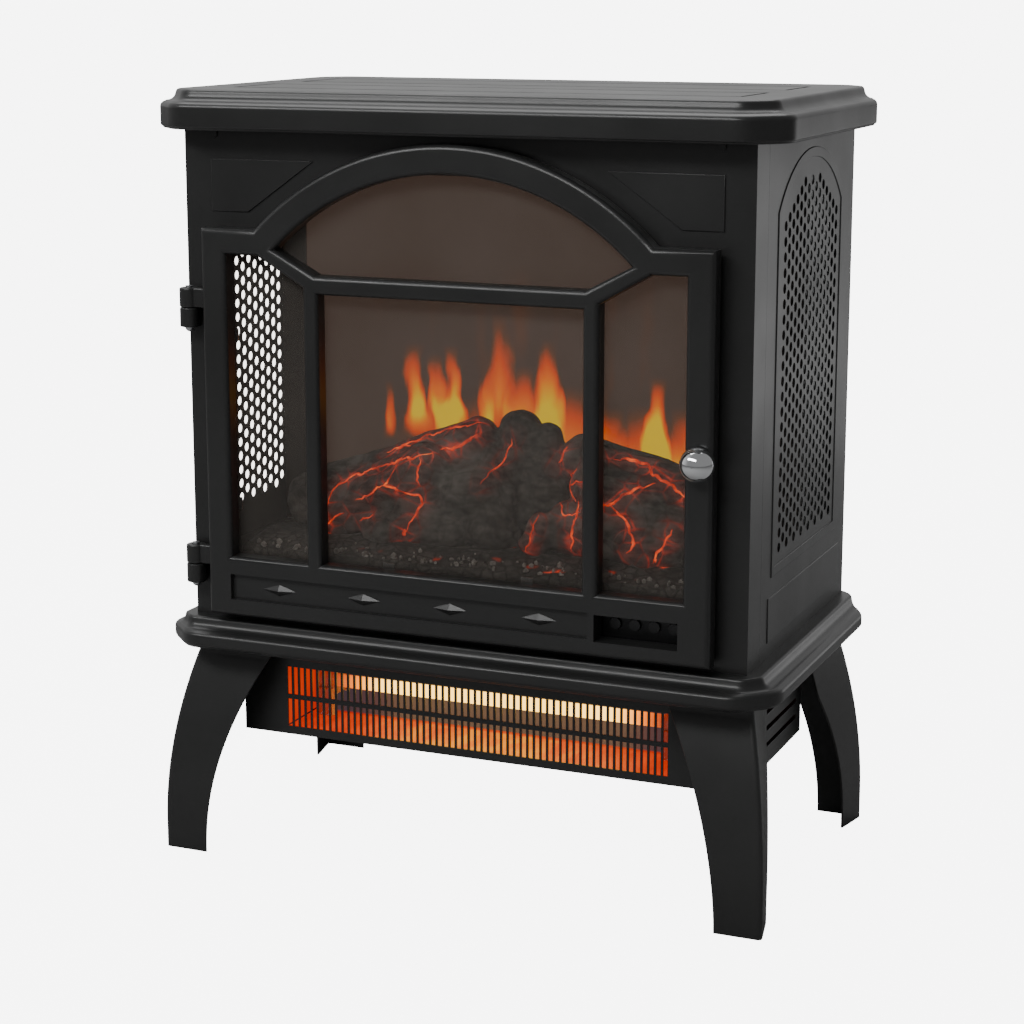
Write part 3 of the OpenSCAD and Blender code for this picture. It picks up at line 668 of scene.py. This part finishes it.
class STOVE_OT_cabinet(bpy.types.Operator):
    """Front and side panels with softened pressings, the trough's end plates and the heater housing"""
    bl_idname = "stove.cabinet"
    bl_label = "Cabinet"

    def execute(self, context):
        press = 0.7 * MM
        refined("front_panel", [(press, on_y(panel_low.y))], STEEL)
        for side in ("left_side_panel", "right_side_panel"):
            proud = max(abs(v) for v in (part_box(side)[0].x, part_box(side)[1].x))
            refined(side, [(press, on_x(proud))], STEEL)
        for side in (-1, 1):
            trough_end(side)
        refined("heater_housing", [(1.2 * MM, lambda e: e.calc_length() > 60 * MM and least_z(e) < 0.15)], STEEL)
        return {"FINISHED"}


def trough_end(side):
    """Thin plate that closes one end of the heater's trough."""
    low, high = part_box("reflector")
    shape = bmesh.new()
    bmesh.ops.create_cube(shape, size=1)
    wide = Vector((1 * MM, high.y - low.y - 8 * MM, high.z - low.z - 4 * MM))
    place = (low + high) / 2
    place.x = high.x * side + 0.7 * MM * side
    for v in shape.verts:
        v.co = Vector(v.co[k] * wide[k] + place[k] for k in range(3))
    name = "trough_end_left" if side < 0 else "trough_end_right"
    # The end plates share the trough's finish, so they carry its painted glow too.
    add_piece(name, to_mesh(shape, name), CABINET, "polished_reflector")


def least_z(edge):
    return min(v.co.z for v in edge.verts)


def in_recess(edge):
    """True along the rim of the shallow strip under the panes and of the control window."""
    spot = middle(edge)
    return abs(spot.x) < 0.196 and 0.2205 < spot.z < 0.2450


def front_loops(mesh):
    """Outlines, as (x, z) points, of the large openings and the rim of the door's front face."""
    shape = bmesh.new()
    shape.from_mesh(mesh)
    front = {f for f in shape.faces if f.normal.y < -0.99 and abs(f.calc_center_median().y - door_low.y) < 0.1 * MM}
    ahead = {}
    for face in front:
        for corner in face.loops:
            if corner.link_loop_radial_next.face not in front:
                ahead.setdefault(corner.vert.index, []).append(corner.link_loop_next.vert.index)
    spots = {v.index: (v.co.x, v.co.z) for v in shape.verts}
    shape.free()
    outlines = []
    while ahead:
        start = here = next(iter(ahead))
        outline = []
        while here in ahead:
            outline.append(spots[here])
            after = ahead[here].pop()
            if not ahead[here]:
                del ahead[here]
            here = after
            if here == start:
                break
        wide = max(x for x, _ in outline) - min(x for x, _ in outline)
        middle_z = sum(z for _, z in outline) / len(outline)
        if wide > 20 * MM and not (0.215 < middle_z < 0.25 and wide < 0.35):
            outlines.append(thinned(outline, 1.5 * MM))
    return outlines


def thinned(outline, least):
    """Drops points that lie closer together than least."""
    kept = []
    for spot in outline:
        if not kept or math.dist(spot, kept[-1]) > least:
            kept.append(spot)
    while len(kept) > 3 and math.dist(kept[0], kept[-1]) < least:
        kept.pop()
    return kept


def rounded_block(mesh, radius):
    """Solid with the door's outlines and softly rounded edges."""
    slack = 0.06 * MM
    data = bpy.data.curves.new("door_outline", "CURVE")
    data.dimensions = "2D"
    data.fill_mode = "BOTH"
    deep = door_high.y - door_low.y + 3 * slack
    data.extrude = deep / 2 - radius
    data.bevel_depth = radius
    data.bevel_resolution = 6
    data.offset = slack - radius
    for outline in front_loops(mesh):
        spline = data.splines.new("POLY")
        spline.points.add(len(outline) - 1)
        for point, (x, z) in zip(spline.points, outline):
            point.co = (x, z, 0, 1)
        spline.use_cyclic_u = True
    block = bpy.data.objects.new("door_block", data)
    bpy.context.scene.collection.objects.link(block)
    block.rotation_euler = (math.radians(90), 0, 0)
    block.location = (0, door_low.y - slack + deep / 2, 0)
    bpy.context.view_layer.update()
    shape = bmesh.new()
    shape.from_mesh(bpy.data.meshes.new_from_object(block.evaluated_get(bpy.context.evaluated_depsgraph_get())))
    shape.transform(block.matrix_world)
    bmesh.ops.remove_doubles(shape, verts=shape.verts, dist=0.01 * MM)
    bpy.data.objects.remove(block)
    solid = bpy.data.objects.new("door_block", to_mesh(shape, "door_block"))
    bpy.context.scene.collection.objects.link(solid)
    return solid


def diamond_mesh():
    """Four low pyramids along the recessed strip of the door."""
    shape = bmesh.new()
    half_wide, half_high, level = 16 * MM, 5.6 * MM, 233.5 * MM
    foot, tip = door_low.y + 4.3 * MM, door_low.y + 0.8 * MM
    for centre in (-152 * MM, -76 * MM, 0, 76 * MM):
        rim = [shape.verts.new((centre + x, foot, level + z))
               for x, z in ((-half_wide, 0), (0, -half_high), (half_wide, 0), (0, half_high))]
        peak = shape.verts.new((centre, tip, level))
        for i in range(4):
            shape.faces.new((rim[i], rim[(i + 1) % 4], peak))
        shape.faces.new(rim[::-1])
    return to_mesh(shape, "door_diamonds")


def keep_within(piece, solid):
    """Trims a piece to what lies inside a solid."""
    piece.modifiers.clear()
    trim = piece.modifiers.new("trim", "BOOLEAN")
    trim.operation = "INTERSECT"
    trim.solver = "EXACT"
    trim.object = solid
    apply_modifiers(piece)
    bpy.data.objects.remove(solid)
    piece.data.shade_smooth()
    piece.data.set_sharp_from_angle(angle=math.radians(19))
    flat_shading(piece)


class STOVE_OT_door(bpy.types.Operator):
    """Door frame with rounded rails, and its hinges"""
    bl_idname = "stove.door"
    bl_label = "Door"

    def execute(self, context):
        piece = refined("door_frame", [], STEEL, "door_frame_piece")
        keep_within(piece, rounded_block(piece.data, stove().shape.door_edge))
        add_piece("door_diamonds", diamond_mesh(), frame["nodes"]["door_frame"]["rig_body"], STEEL, smooth=5)
        for node in ("door_hinge_knuckles", "body_hinge_brackets"):
            refined(node, [(1.3 * MM, any_edge)], STEEL)
        return {"FINISHED"}


def leg_ring(z, facing):
    """Folded section of a right-hand leg at height z, in millimetres, for "front" or "rear"."""
    held = min(z, 170.0)
    outer = 263.4 - max(0.0, held - 25) ** 2 / 1092
    inner = 224 - held ** 2 / 576
    depth = min(36 + held ** 2 / 620, 62.0)
    bend = 734 if facing == "front" else 1200
    face = (-24 if facing == "front" else 0) + max(0.0, held - 20) ** 2 / bend
    wall, lean = 1.8, 0.2
    fold = stove().shape.leg_fold / MM
    tail = (outer - lean * depth, face + depth)
    along = Vector((-lean, 1)).normalized()
    outside, inside = [], []
    corner = Vector((outer, face))
    for target, radius, gap in ((outside, fold, 0), (inside, fold - wall, wall)):
        spot = corner + Vector((-gap - lean * gap, gap))
        start = spot - Vector((radius, 0))
        stop = spot + along * radius
        for step in range(7):
            t = step / 6
            target.append((1 - t) ** 2 * start + 2 * t * (1 - t) * spot + t * t * stop)
    tip = 0.5
    ring = [(inner, face + tip), (inner + tip, face)] + [tuple(p) for p in outside]
    ring += [(tail[0], tail[1] - tip), (tail[0] - tip, tail[1]), (tail[0] - wall, tail[1] - tip)]
    ring += [tuple(p) for p in inside[::-1]] + [(inner + tip, face + wall), (inner, face + wall - tip)]
    return ring


def leg_mesh(name, node, facing, mirror_x):
    """A leg lofted from its foot to the base, with its folded tab."""
    low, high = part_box(node)
    heights = [i * 170 / 34 for i in range(35)] + [high.z / MM]
    rings = []
    for z in heights:
        points = []
        for x, y in leg_ring(z, facing):
            y = FACE_Y + y * MM if facing == "front" else BACK_Y - y * MM
            points.append(Vector((x * MM * mirror_x, y, z * MM)))
        rings.append(points)
    shape = bmesh.new()
    shape.from_mesh(loft(rings, name))
    face = rings[-1][1].y
    inward = 1 if facing == "front" else -1
    outline = [(213, 1), (242, 1), (232.5, 50), (213, 50)]
    tab = [[Vector((x * MM * mirror_x, face + inward * y * MM, z)) for x, y in outline]
           for z in (high.z - 1.8 * MM, high.z)]
    shape.from_mesh(loft(tab, "tab"))
    return to_mesh(shape, name)


class STOVE_OT_legs(bpy.types.Operator):
    """Four folded legs with a rounded fold"""
    bl_idname = "stove.legs"
    bl_label = "Legs"

    def execute(self, context):
        for facing in ("front", "rear"):
            for side, mirror_x in (("left", -1), ("right", 1)):
                node = f"leg_{facing}_{side}"
                name = f"folded_{node}"
                piece = add_piece(name, leg_mesh(name, node, facing, mirror_x), CABINET, STEEL, (node,))
                flat_shading(piece)
        return {"FINISHED"}


# ---------- logs, embers and flames ----------

def log_paths():
    """[start, end, radius at start, radius at end] of each cast log, millimetres in X, row Y and Z."""
    return [
        ((-198, -30, 276), (-14, -6, 350), 24, 21),
        ((198, -28, 304), (44, -6, 340), 24, 20),
        ((-160, -44, 268), (-44, -36, 330), 22, 28),
        ((-120, -46, 266), (-20, -44, 280), 22, 24),
        ((4, -10, 262), (7, -4, 372), 36, 15),
        ((28, -14, 262), (30, -8, 364), 28, 13),
        ((-60, -16, 300), (6, -16, 322), 28, 30),
        ((-52, -34, 300), (10, -34, 312), 28, 26),
        ((-6, -56, 262), (2, -30, 318), 24, 16),
        ((62, -34, 322), (178, -30, 294), 25, 26),
        ((44, -44, 286), (180, -40, 276), 24, 24),
        ((-100, -68, 264), (-64, -54, 290), 11, 13),
        ((140, -68, 264), (112, -52, 288), 12, 14),
        ((38, -66, 263), (48, -48, 296), 12, 14),
    ]


def bark(place, along, around, seed):
    """How far the bark stands out or in, as a share of the log's radius."""
    ridge = noise.noise(Vector((along * 14, math.cos(around) * 2.6 + seed, math.sin(around) * 2.6)))
    knot = noise.noise(place * 22 + Vector((seed, 0, 0)))
    fine = noise.noise(Vector((along * 60, math.cos(around) * 8, math.sin(around) * 8 + seed)))
    return 0.16 * knot + 0.15 * ridge + 0.07 * fine


def log_shape(start, end, r_start, r_end, seed):
    """One gnarled log: rings that wander round its axis, closed with domed ends."""
    start, end = Vector(start) * MM, Vector(end) * MM
    axis = (end - start).normalized()
    side = axis.cross(Vector((0, 1, 0))).normalized()
    up = side.cross(axis).normalized()
    reach = (end - start).length
    steps = max(12, int(reach / (2.5 * MM)))
    rings = []
    for i in range(steps + 1):
        t = i / steps
        radius = (r_start + (r_end - r_start) * t) * MM
        edge = min(t, 1 - t) * reach / (0.8 * radius)
        dome = math.sqrt(max(0.02, 1 - (1 - min(1.0, edge)) ** 2))
        centre = start + axis * reach * t
        centre += side * 3 * MM * noise.noise(Vector((t * 3, seed, 0)))
        centre += up * 3 * MM * noise.noise(Vector((t * 3, 0, seed)))
        ring = []
        for k in range(48):
            turn = k * math.tau / 48
            spread = side * math.cos(turn) + up * math.sin(turn)
            grown = radius * dome * (1 + bark(centre + spread * radius, t * reach, turn, seed))
            ring.append(centre + spread * grown)
        rings.append(ring)
    return loft(rings, "log")


def clamp_to(mesh, low, high):
    for v in mesh.vertices:
        v.co = Vector(min(max(v.co[k], low[k]), high[k]) for k in range(3))


def crack_paths():
    """Cracks that glow: (x, z) points in millimetres on the logs' front, and their widths."""
    drawn = [
        ([(-146, 281), (-144, 295), (-118, 308), (-90, 319), (-64, 328), (-40, 331), (-30, 338), (-22, 345)], 2.6),
        ([(-106, 322), (-84, 333), (-68, 338), (-44, 347), (-24, 352)], 2.0),
        ([(-96, 326), (-88, 330), (-80, 330)], 1.6),
        ([(-62, 327), (-63, 314), (-61, 302)], 1.3),
        ([(-82, 320), (-86, 310), (-92, 302), (-78, 297), (-62, 293), (-64, 280), (-72, 264)], 1.6),
        ([(-92, 302), (-106, 294), (-120, 286)], 1.3),
        ([(-149, 262), (-140, 270), (-130, 275)], 1.5),
        ([(-118, 268), (-104, 275)], 1.2),
        ([(-72, 268), (-73, 260)], 2.8),
        ([(96, 331), (110, 333), (124, 330), (135, 322), (150, 317), (166, 308)], 2.4),
        ([(136, 338), (146, 334), (158, 328)], 2.0),
        ([(97, 301), (103, 299), (114, 309), (124, 314), (137, 317)], 2.0),
        ([(106, 300), (116, 290), (124, 281), (129, 274), (124, 266)], 2.0),
        ([(158, 286), (150, 272), (143, 259)], 1.8),
        ([(143, 262), (147, 259)], 2.6),
        ([(54, 338), (50, 330), (47, 324)], 2.0),
        ([(6, 342), (1, 326), (-9, 308)], 1.1),
        ([(69, 325), (60, 316), (66, 308), (72, 300)], 1.4),
        ([(61, 307), (74, 316), (84, 318)], 1.3),
        ([(42, 290), (41, 274), (38, 259)], 1.5),
        ([(75, 300), (76, 282), (74, 262)], 1.8),
        ([(55, 298), (66, 290), (78, 292)], 1.2),
    ]
    return [([(x, z + 10) for x, z in points], width) for points, width in drawn]


def along_path(points, step):
    """Points every step along a polyline, wandering a little."""
    spots = []
    for (x0, z0), (x1, z1) in zip(points, points[1:]):
        count = max(1, round(math.hypot(x1 - x0, z1 - z0) / step))
        for i in range(count):
            t = i / count
            spots.append(Vector((x0 + (x1 - x0) * t, 0, z0 + (z1 - z0) * t)))
    spots.append(Vector((points[-1][0], 0, points[-1][1])))
    wander = []
    for spot in spots:
        shift = noise.noise_vector(spot * 0.16) * 2.2 + noise.noise_vector(spot * 0.5) * 0.9
        wander.append(Vector((spot.x + shift.x, 0, spot.z + shift.z)))
    return wander


def seen_on(tree, spot):
    """Where a ray from the front meets the logs, with the surface's normal."""
    start = Vector((spot.x * MM, bed_low.y - 0.02, spot.z * MM))
    hit, normal, _, _ = tree.ray_cast(start, Vector((0, 1, 0)))
    return (hit, normal) if hit and hit.y < bed_high.y else None


def crack_mesh(tree):
    """Flattened tubes laid in the logs' surface along each crack."""
    shape = bmesh.new()
    lit = []
    for points, width in crack_paths():
        spots = along_path(points, 2.0)
        hits = [seen_on(tree, spot) for spot in spots]
        runs, run = [], []
        for i, hit in enumerate(hits):
            if hit and (not run or (hit[0] - run[-1][0]).length < 9 * MM):
                run.append((*hit, i / len(hits)))
            else:
                runs.append(run)
                run = [(*hit, i / len(hits))] if hit else []
        runs.append(run)
        for run in (r for r in runs if len(r) > 2):
            lit += [(hit[0], width) for hit in run]
            add_ribbon(shape, run, width)
    return to_mesh(shape, "glowing_cracks"), lit


def add_ribbon(shape, run, width):
    rings = []
    for i, (spot, normal, share) in enumerate(run):
        ahead = run[min(i + 1, len(run) - 1)][0] - run[max(i - 1, 0)][0]
        side = ahead.cross(normal).normalized()
        taper = min(1.0, 4 * min(i, len(run) - 1 - i) / len(run) + 0.15)
        half = 1.25 * width * MM * taper * (0.5 + 0.5 * (0.7 + noise.noise(spot * 130)))
        ring = []
        for across, lift in ((-1, 0), (-0.5, 0.45), (0.5, 0.45), (1, 0), (0.5, -0.6), (-0.5, -0.6)):
            ring.append(shape.verts.new(spot + side * half * across * 0.5 + normal * lift * MM))
        rings.append(ring)
    for low, high in zip(rings, rings[1:]):
        for k in range(6):
            j = (k + 1) % 6
            shape.faces.new((low[k], low[j], high[j], high[k]))
    shape.faces.new(rings[0][::-1])
    shape.faces.new(rings[-1])


class STOVE_OT_logs(bpy.types.Operator):
    """Cast log set, remeshed to one skin, with its glowing cracks"""
    bl_idname = "stove.logs"
    bl_label = "Logs"

    def execute(self, context):
        shape = bmesh.new()
        for seed, (start, end, r_start, r_end) in enumerate(log_paths()):
            shape.from_mesh(log_shape(start, end, r_start, r_end, seed * 3.7))
        piece = add_piece("cast_logs", to_mesh(shape, "cast_logs"), CABINET, "log_resin", ("log_set",), 180)
        skin = piece.modifiers.new("one skin", "REMESH")
        skin.mode = "VOXEL"
        skin.voxel_size = 2.2 * MM
        soften = piece.modifiers.new("soften", "SMOOTH")
        soften.iterations = 1
        apply_modifiers(piece)
        low = Vector((-202 * MM, bed_low.y + 16 * MM, bed_low.z + 3 * MM))
        high = Vector((202 * MM, bed_high.y - 2 * MM, 387 * MM))
        clamp_to(piece.data, low, high)
        piece.data.shade_smooth()
        tree = BVHTree.FromObject(piece, bpy.context.evaluated_depsgraph_get())
        cracks, lit = crack_mesh(tree)
        glow_near(piece.data, lit)
        add_piece("log_cracks", cracks, CABINET, "log_resin",
                  material=glowing_crack("glowing_crack", stove().fire.crack))
        return {"FINISHED"}


def glow_near(mesh, lit):
    """Stores how close each point is to a glowing crack."""
    attribute = mesh.attributes.new("glow", "FLOAT", "POINT")
    reach = 17 * MM
    nearest = KDTree(len(lit))
    for i, (spot, _) in enumerate(lit):
        nearest.insert(spot, i)
    nearest.balance()
    values = []
    for v in mesh.vertices:
        _, i, away = nearest.find(v.co)
        near = max(0.0, 1 - away / reach) ** 1.6
        values.append(near * min(1.0, lit[i][1] / 2.2))
    attribute.data.foreach_set("value", values)


def bed_height(x, y):
    """Height of the coals above the bed's foot, in metres."""
    spot = Vector((x, y, 0))
    lump = noise.noise(spot * 60) * 0.5 + 0.5
    coal = min(1.0, noise.voronoi(spot * 85)[0][0] * 2)
    depth = (y - bed_low.y) / (bed_high.y - bed_low.y)
    rise = math.sin(min(1.0, depth * 1.25) * math.pi) * 7 * MM
    return (5.0 + 3.5 * lump + 2.5 * (1 - coal)) * MM + rise


def bed_mesh():
    """Closed block whose top is a field of coals."""
    step = 2.6 * MM
    low = bed_low + Vector((0.5, 0.5, 0.2)) * MM
    high = bed_high - Vector((0.5, 0.5, 0)) * MM
    across = round((high.x - low.x) / step)
    deep = round((high.y - low.y) / step)
    shape = bmesh.new()
    top, foot = [], []
    for j in range(deep + 1):
        y = low.y + (high.y - low.y) * j / deep
        row_x = [low.x + (high.x - low.x) * i / across for i in range(across + 1)]
        top.append([shape.verts.new((x, y, low.z + bed_height(x, y))) for x in row_x])
        foot.append([shape.verts.new((x, y, low.z)) for x in row_x])
    for j in range(deep):
        for i in range(across):
            shape.faces.new((top[j][i], top[j][i + 1], top[j + 1][i + 1], top[j + 1][i]))
            shape.faces.new((foot[j + 1][i], foot[j + 1][i + 1], foot[j][i + 1], foot[j][i]))
    for i in range(across):
        shape.faces.new((foot[0][i], foot[0][i + 1], top[0][i + 1], top[0][i]))
        shape.faces.new((top[deep][i], top[deep][i + 1], foot[deep][i + 1], foot[deep][i]))
    for j in range(deep):
        shape.faces.new((foot[j + 1][0], foot[j][0], top[j][0], top[j + 1][0]))
        shape.faces.new((foot[j][across], foot[j + 1][across], top[j + 1][across], top[j][across]))
    return to_mesh(shape, "coal_bed")


def crystal_mesh(count):
    """Small faceted shards strewn along the front of the bed."""
    rng = random.Random(7)
    shape = bmesh.new()
    for _ in range(count):
        x = rng.uniform(bed_low.x + 8 * MM, bed_high.x - 8 * MM)
        y = bed_low.y + abs(rng.gauss(0, 9)) * MM + 4 * MM
        size = rng.uniform(1.2, 3.0) * MM
        made = bmesh.ops.create_icosphere(shape, subdivisions=1, radius=size)["verts"]
        squash = Vector((rng.uniform(0.5, 1.1), rng.uniform(0.5, 1.0), rng.uniform(0.5, 1.5)))
        base = bed_low.z + bed_height(x, y) + size * 0.4
        for v in made:
            jag = 1 + 0.35 * noise.noise(v.co * 900 + Vector((x, y, 0)) * 500)
            v.co = Vector((v.co.x * squash.x, v.co.y * squash.y, v.co.z * squash.z)) * jag
            v.co += Vector((x, y, base))
    return to_mesh(shape, "crystals")


class STOVE_OT_embers(bpy.types.Operator):
    """Bed of coals with glass crystals along its front"""
    bl_idname = "stove.embers"
    bl_label = "Embers"

    def execute(self, context):
        add_piece("coal_bed", bed_mesh(), CABINET, "ember_resin", ("ember_bed",), 180)
        add_piece("crystals", crystal_mesh(stove().fire.shards), CABINET, "ember_resin",
                  smooth=20, material=crystal("frosted_crystal"))
        return {"FINISHED"}


# ---------- finishes of the carried-over nodes ----------

class STOVE_OT_finishes(bpy.types.Operator):
    """Every slot's material, on all the CAD nodes that stay"""
    bl_idname = "stove.finishes"
    bl_label = "Finishes"

    def execute(self, context):
        made = finishes()
        context.scene["finish_names"] = {slot: material.name for slot, material in made.items()}
        for node, piece in frame["nodes"].items():
            slot_name = piece.material_slots[0].material.name.split(".")[0]
            if slot_name not in made:
                raise ValueError(f"{node} has a slot with no finish: {slot_name}")
            for holder in piece.material_slots:
                holder.material = made[slot_name]
        return {"FINISHED"}


# ---------- studio ----------

def aim(thing, target):
    thing.rotation_euler = (target - thing.location).to_track_quat("-Z", "Y").to_euler()


def soft_box(name, place, target, wide, high, power, tint=(1, 1, 1)):
    data = bpy.data.lights.new(name, "AREA")
    data.shape = "RECTANGLE"
    data.size, data.size_y = wide, high
    data.energy = power
    data.color = tint
    made = bpy.data.objects.new(name, data)
    made.location = place
    aim(made, Vector(target))
    bpy.context.scene.collection.objects.link(made)


def studio_world(studio):
    """Pale surroundings, with a dim room on the side that the front faces."""
    world = bpy.data.worlds.new("studio")
    bpy.context.scene.world = world
    world.use_nodes = True
    tree = world.node_tree
    tree.nodes.clear()

    def add(kind, **settings):
        made = tree.nodes.new("ShaderNode" + kind)
        for key, value in settings.items():
            setattr(made, key, value)
        return made

    place = add("TexCoord")
    split = add("SeparateXYZ")
    away = add("Math", operation="SUBTRACT")
    facing = add("MapRange")
    facing.interpolation_type = "SMOOTHSTEP"
    facing.inputs["From Min"].default_value = -0.15
    facing.inputs["From Max"].default_value = 1.15
    facing.inputs["To Min"].default_value = studio.dark_side
    facing.inputs["To Max"].default_value = studio.backdrop
    light, seen, mix, path, out = (add(k) for k in ("Background", "Background", "MixShader", "LightPath",
                                                    "OutputWorld"))
    seen.inputs["Color"].default_value = (1, 1, 1, 1)
    seen.inputs["Strength"].default_value = 7.0
    links = tree.links
    links.new(place.outputs["Generated"], split.inputs[0])
    links.new(split.outputs["Y"], away.inputs[0])
    links.new(split.outputs["X"], away.inputs[1])
    links.new(away.outputs[0], facing.inputs["Value"])
    links.new(facing.outputs[0], light.inputs["Strength"])
    links.new(path.outputs["Is Camera Ray"], mix.inputs[0])
    links.new(light.outputs[0], mix.inputs[1])
    links.new(seen.outputs[0], mix.inputs[2])
    links.new(mix.outputs[0], out.inputs["Surface"])


def pale_floor():
    """Matt floor, lit from under like a light table where it is seen directly."""
    s = Shade("pale_floor")
    speckle = s.noise(180, 2)
    tone = s.blend(speckle, (0.27, 0.27, 0.27), (0.31, 0.31, 0.31))
    seen = s.node("LightPath").outputs["Is Camera Ray"]
    return s.done(s.principled(tone, 0.9, Emission_Color=(1, 1, 1, 1),
                               Emission_Strength=s.math("MULTIPLY", seen, 6.8)))


class STOVE_OT_studio(bpy.types.Operator):
    """Pale floor, soft light and the camera"""
    bl_idname = "stove.studio"
    bl_label = "Studio"

    def execute(self, context):
        studio = stove().studio
        floor_mesh = bpy.data.meshes.new("floor")
        reach = 60.0
        floor_mesh.from_pydata([(-reach, -reach, 0), (reach, -reach, 0), (reach, reach, 0), (-reach, reach, 0)],
                               [], [(0, 1, 2, 3)])
        floor = bpy.data.objects.new("floor", floor_mesh)
        context.scene.collection.objects.link(floor)
        floor_mesh.materials.append(pale_floor())
        studio_world(studio)
        soft_box("top_light", (-0.3, 0.6, 2.3), (0, 0, 0.5), 2.2, 1.4, 30)
        soft_box("front_light", (-0.6, -1.7, 1.9), (0, -0.1, 0.3), 2.4, 0.5, 36)
        soft_box("side_light", (0.95, 1.35, 0.3), (0.27, 0, 0.4), 0.8, 0.5, 1.2)
        data = bpy.data.cameras.new("camera")
        camera = bpy.data.objects.new("camera", data)
        context.scene.collection.objects.link(camera)
        data.lens = studio.lens
        data.sensor_width = 36
        data.shift_y = studio.shift
        data.clip_start = 0.05
        target = Vector((-0.005, 0.0, studio.target_z))
        turn, lift = studio.azimuth, studio.elevation
        away = Vector((math.sin(turn) * math.cos(lift), -math.cos(turn) * math.cos(lift), math.sin(lift)))
        camera.location = target + away * studio.distance
        aim(camera, target)
        context.scene.camera = camera
        return {"FINISHED"}


# ---------- panel and registration ----------

STEPS = (STOVE_OT_finishes, STOVE_OT_plates, STOVE_OT_cabinet, STOVE_OT_door, STOVE_OT_legs,
         STOVE_OT_logs, STOVE_OT_embers, STOVE_OT_studio)


class STOVE_PT_panel(bpy.types.Panel):
    """Lists the fireplace's steps and values"""
    bl_idname = "STOVE_PT_panel"
    bl_label = "Electric fireplace"
    bl_space_type = "VIEW_3D"
    bl_region_type = "UI"
    bl_category = "Fireplace"

    def draw(self, context):
        for step in STEPS:
            self.layout.operator(step.bl_idname)
        for group in (stove().finish, stove().shape, stove().fire, stove().studio):
            column = self.layout.column()
            for name in group.__annotations__:
                column.prop(group, name)


class StoveSettings(bpy.types.PropertyGroup):
    finish: PointerProperty(type=StoveFinish)
    shape: PointerProperty(type=StoveShape)
    fire: PointerProperty(type=StoveFire)
    studio: PointerProperty(type=StoveStudio)


CLASSES = (StoveFinish, StoveShape, StoveFire, StoveStudio, StoveSettings, *STEPS, STOVE_PT_panel)


def register():
    for cls in CLASSES:
        bpy.utils.register_class(cls)
    bpy.types.Scene.stove = PointerProperty(type=StoveSettings)


def unregister():
    del bpy.types.Scene.stove
    for cls in reversed(CLASSES):
        bpy.utils.unregister_class(cls)


def main():
    register()
    for step in STEPS:
        group, name = step.bl_idname.split(".")
        getattr(getattr(bpy.ops, group), name)()


if __name__ == "__main__":
    main()
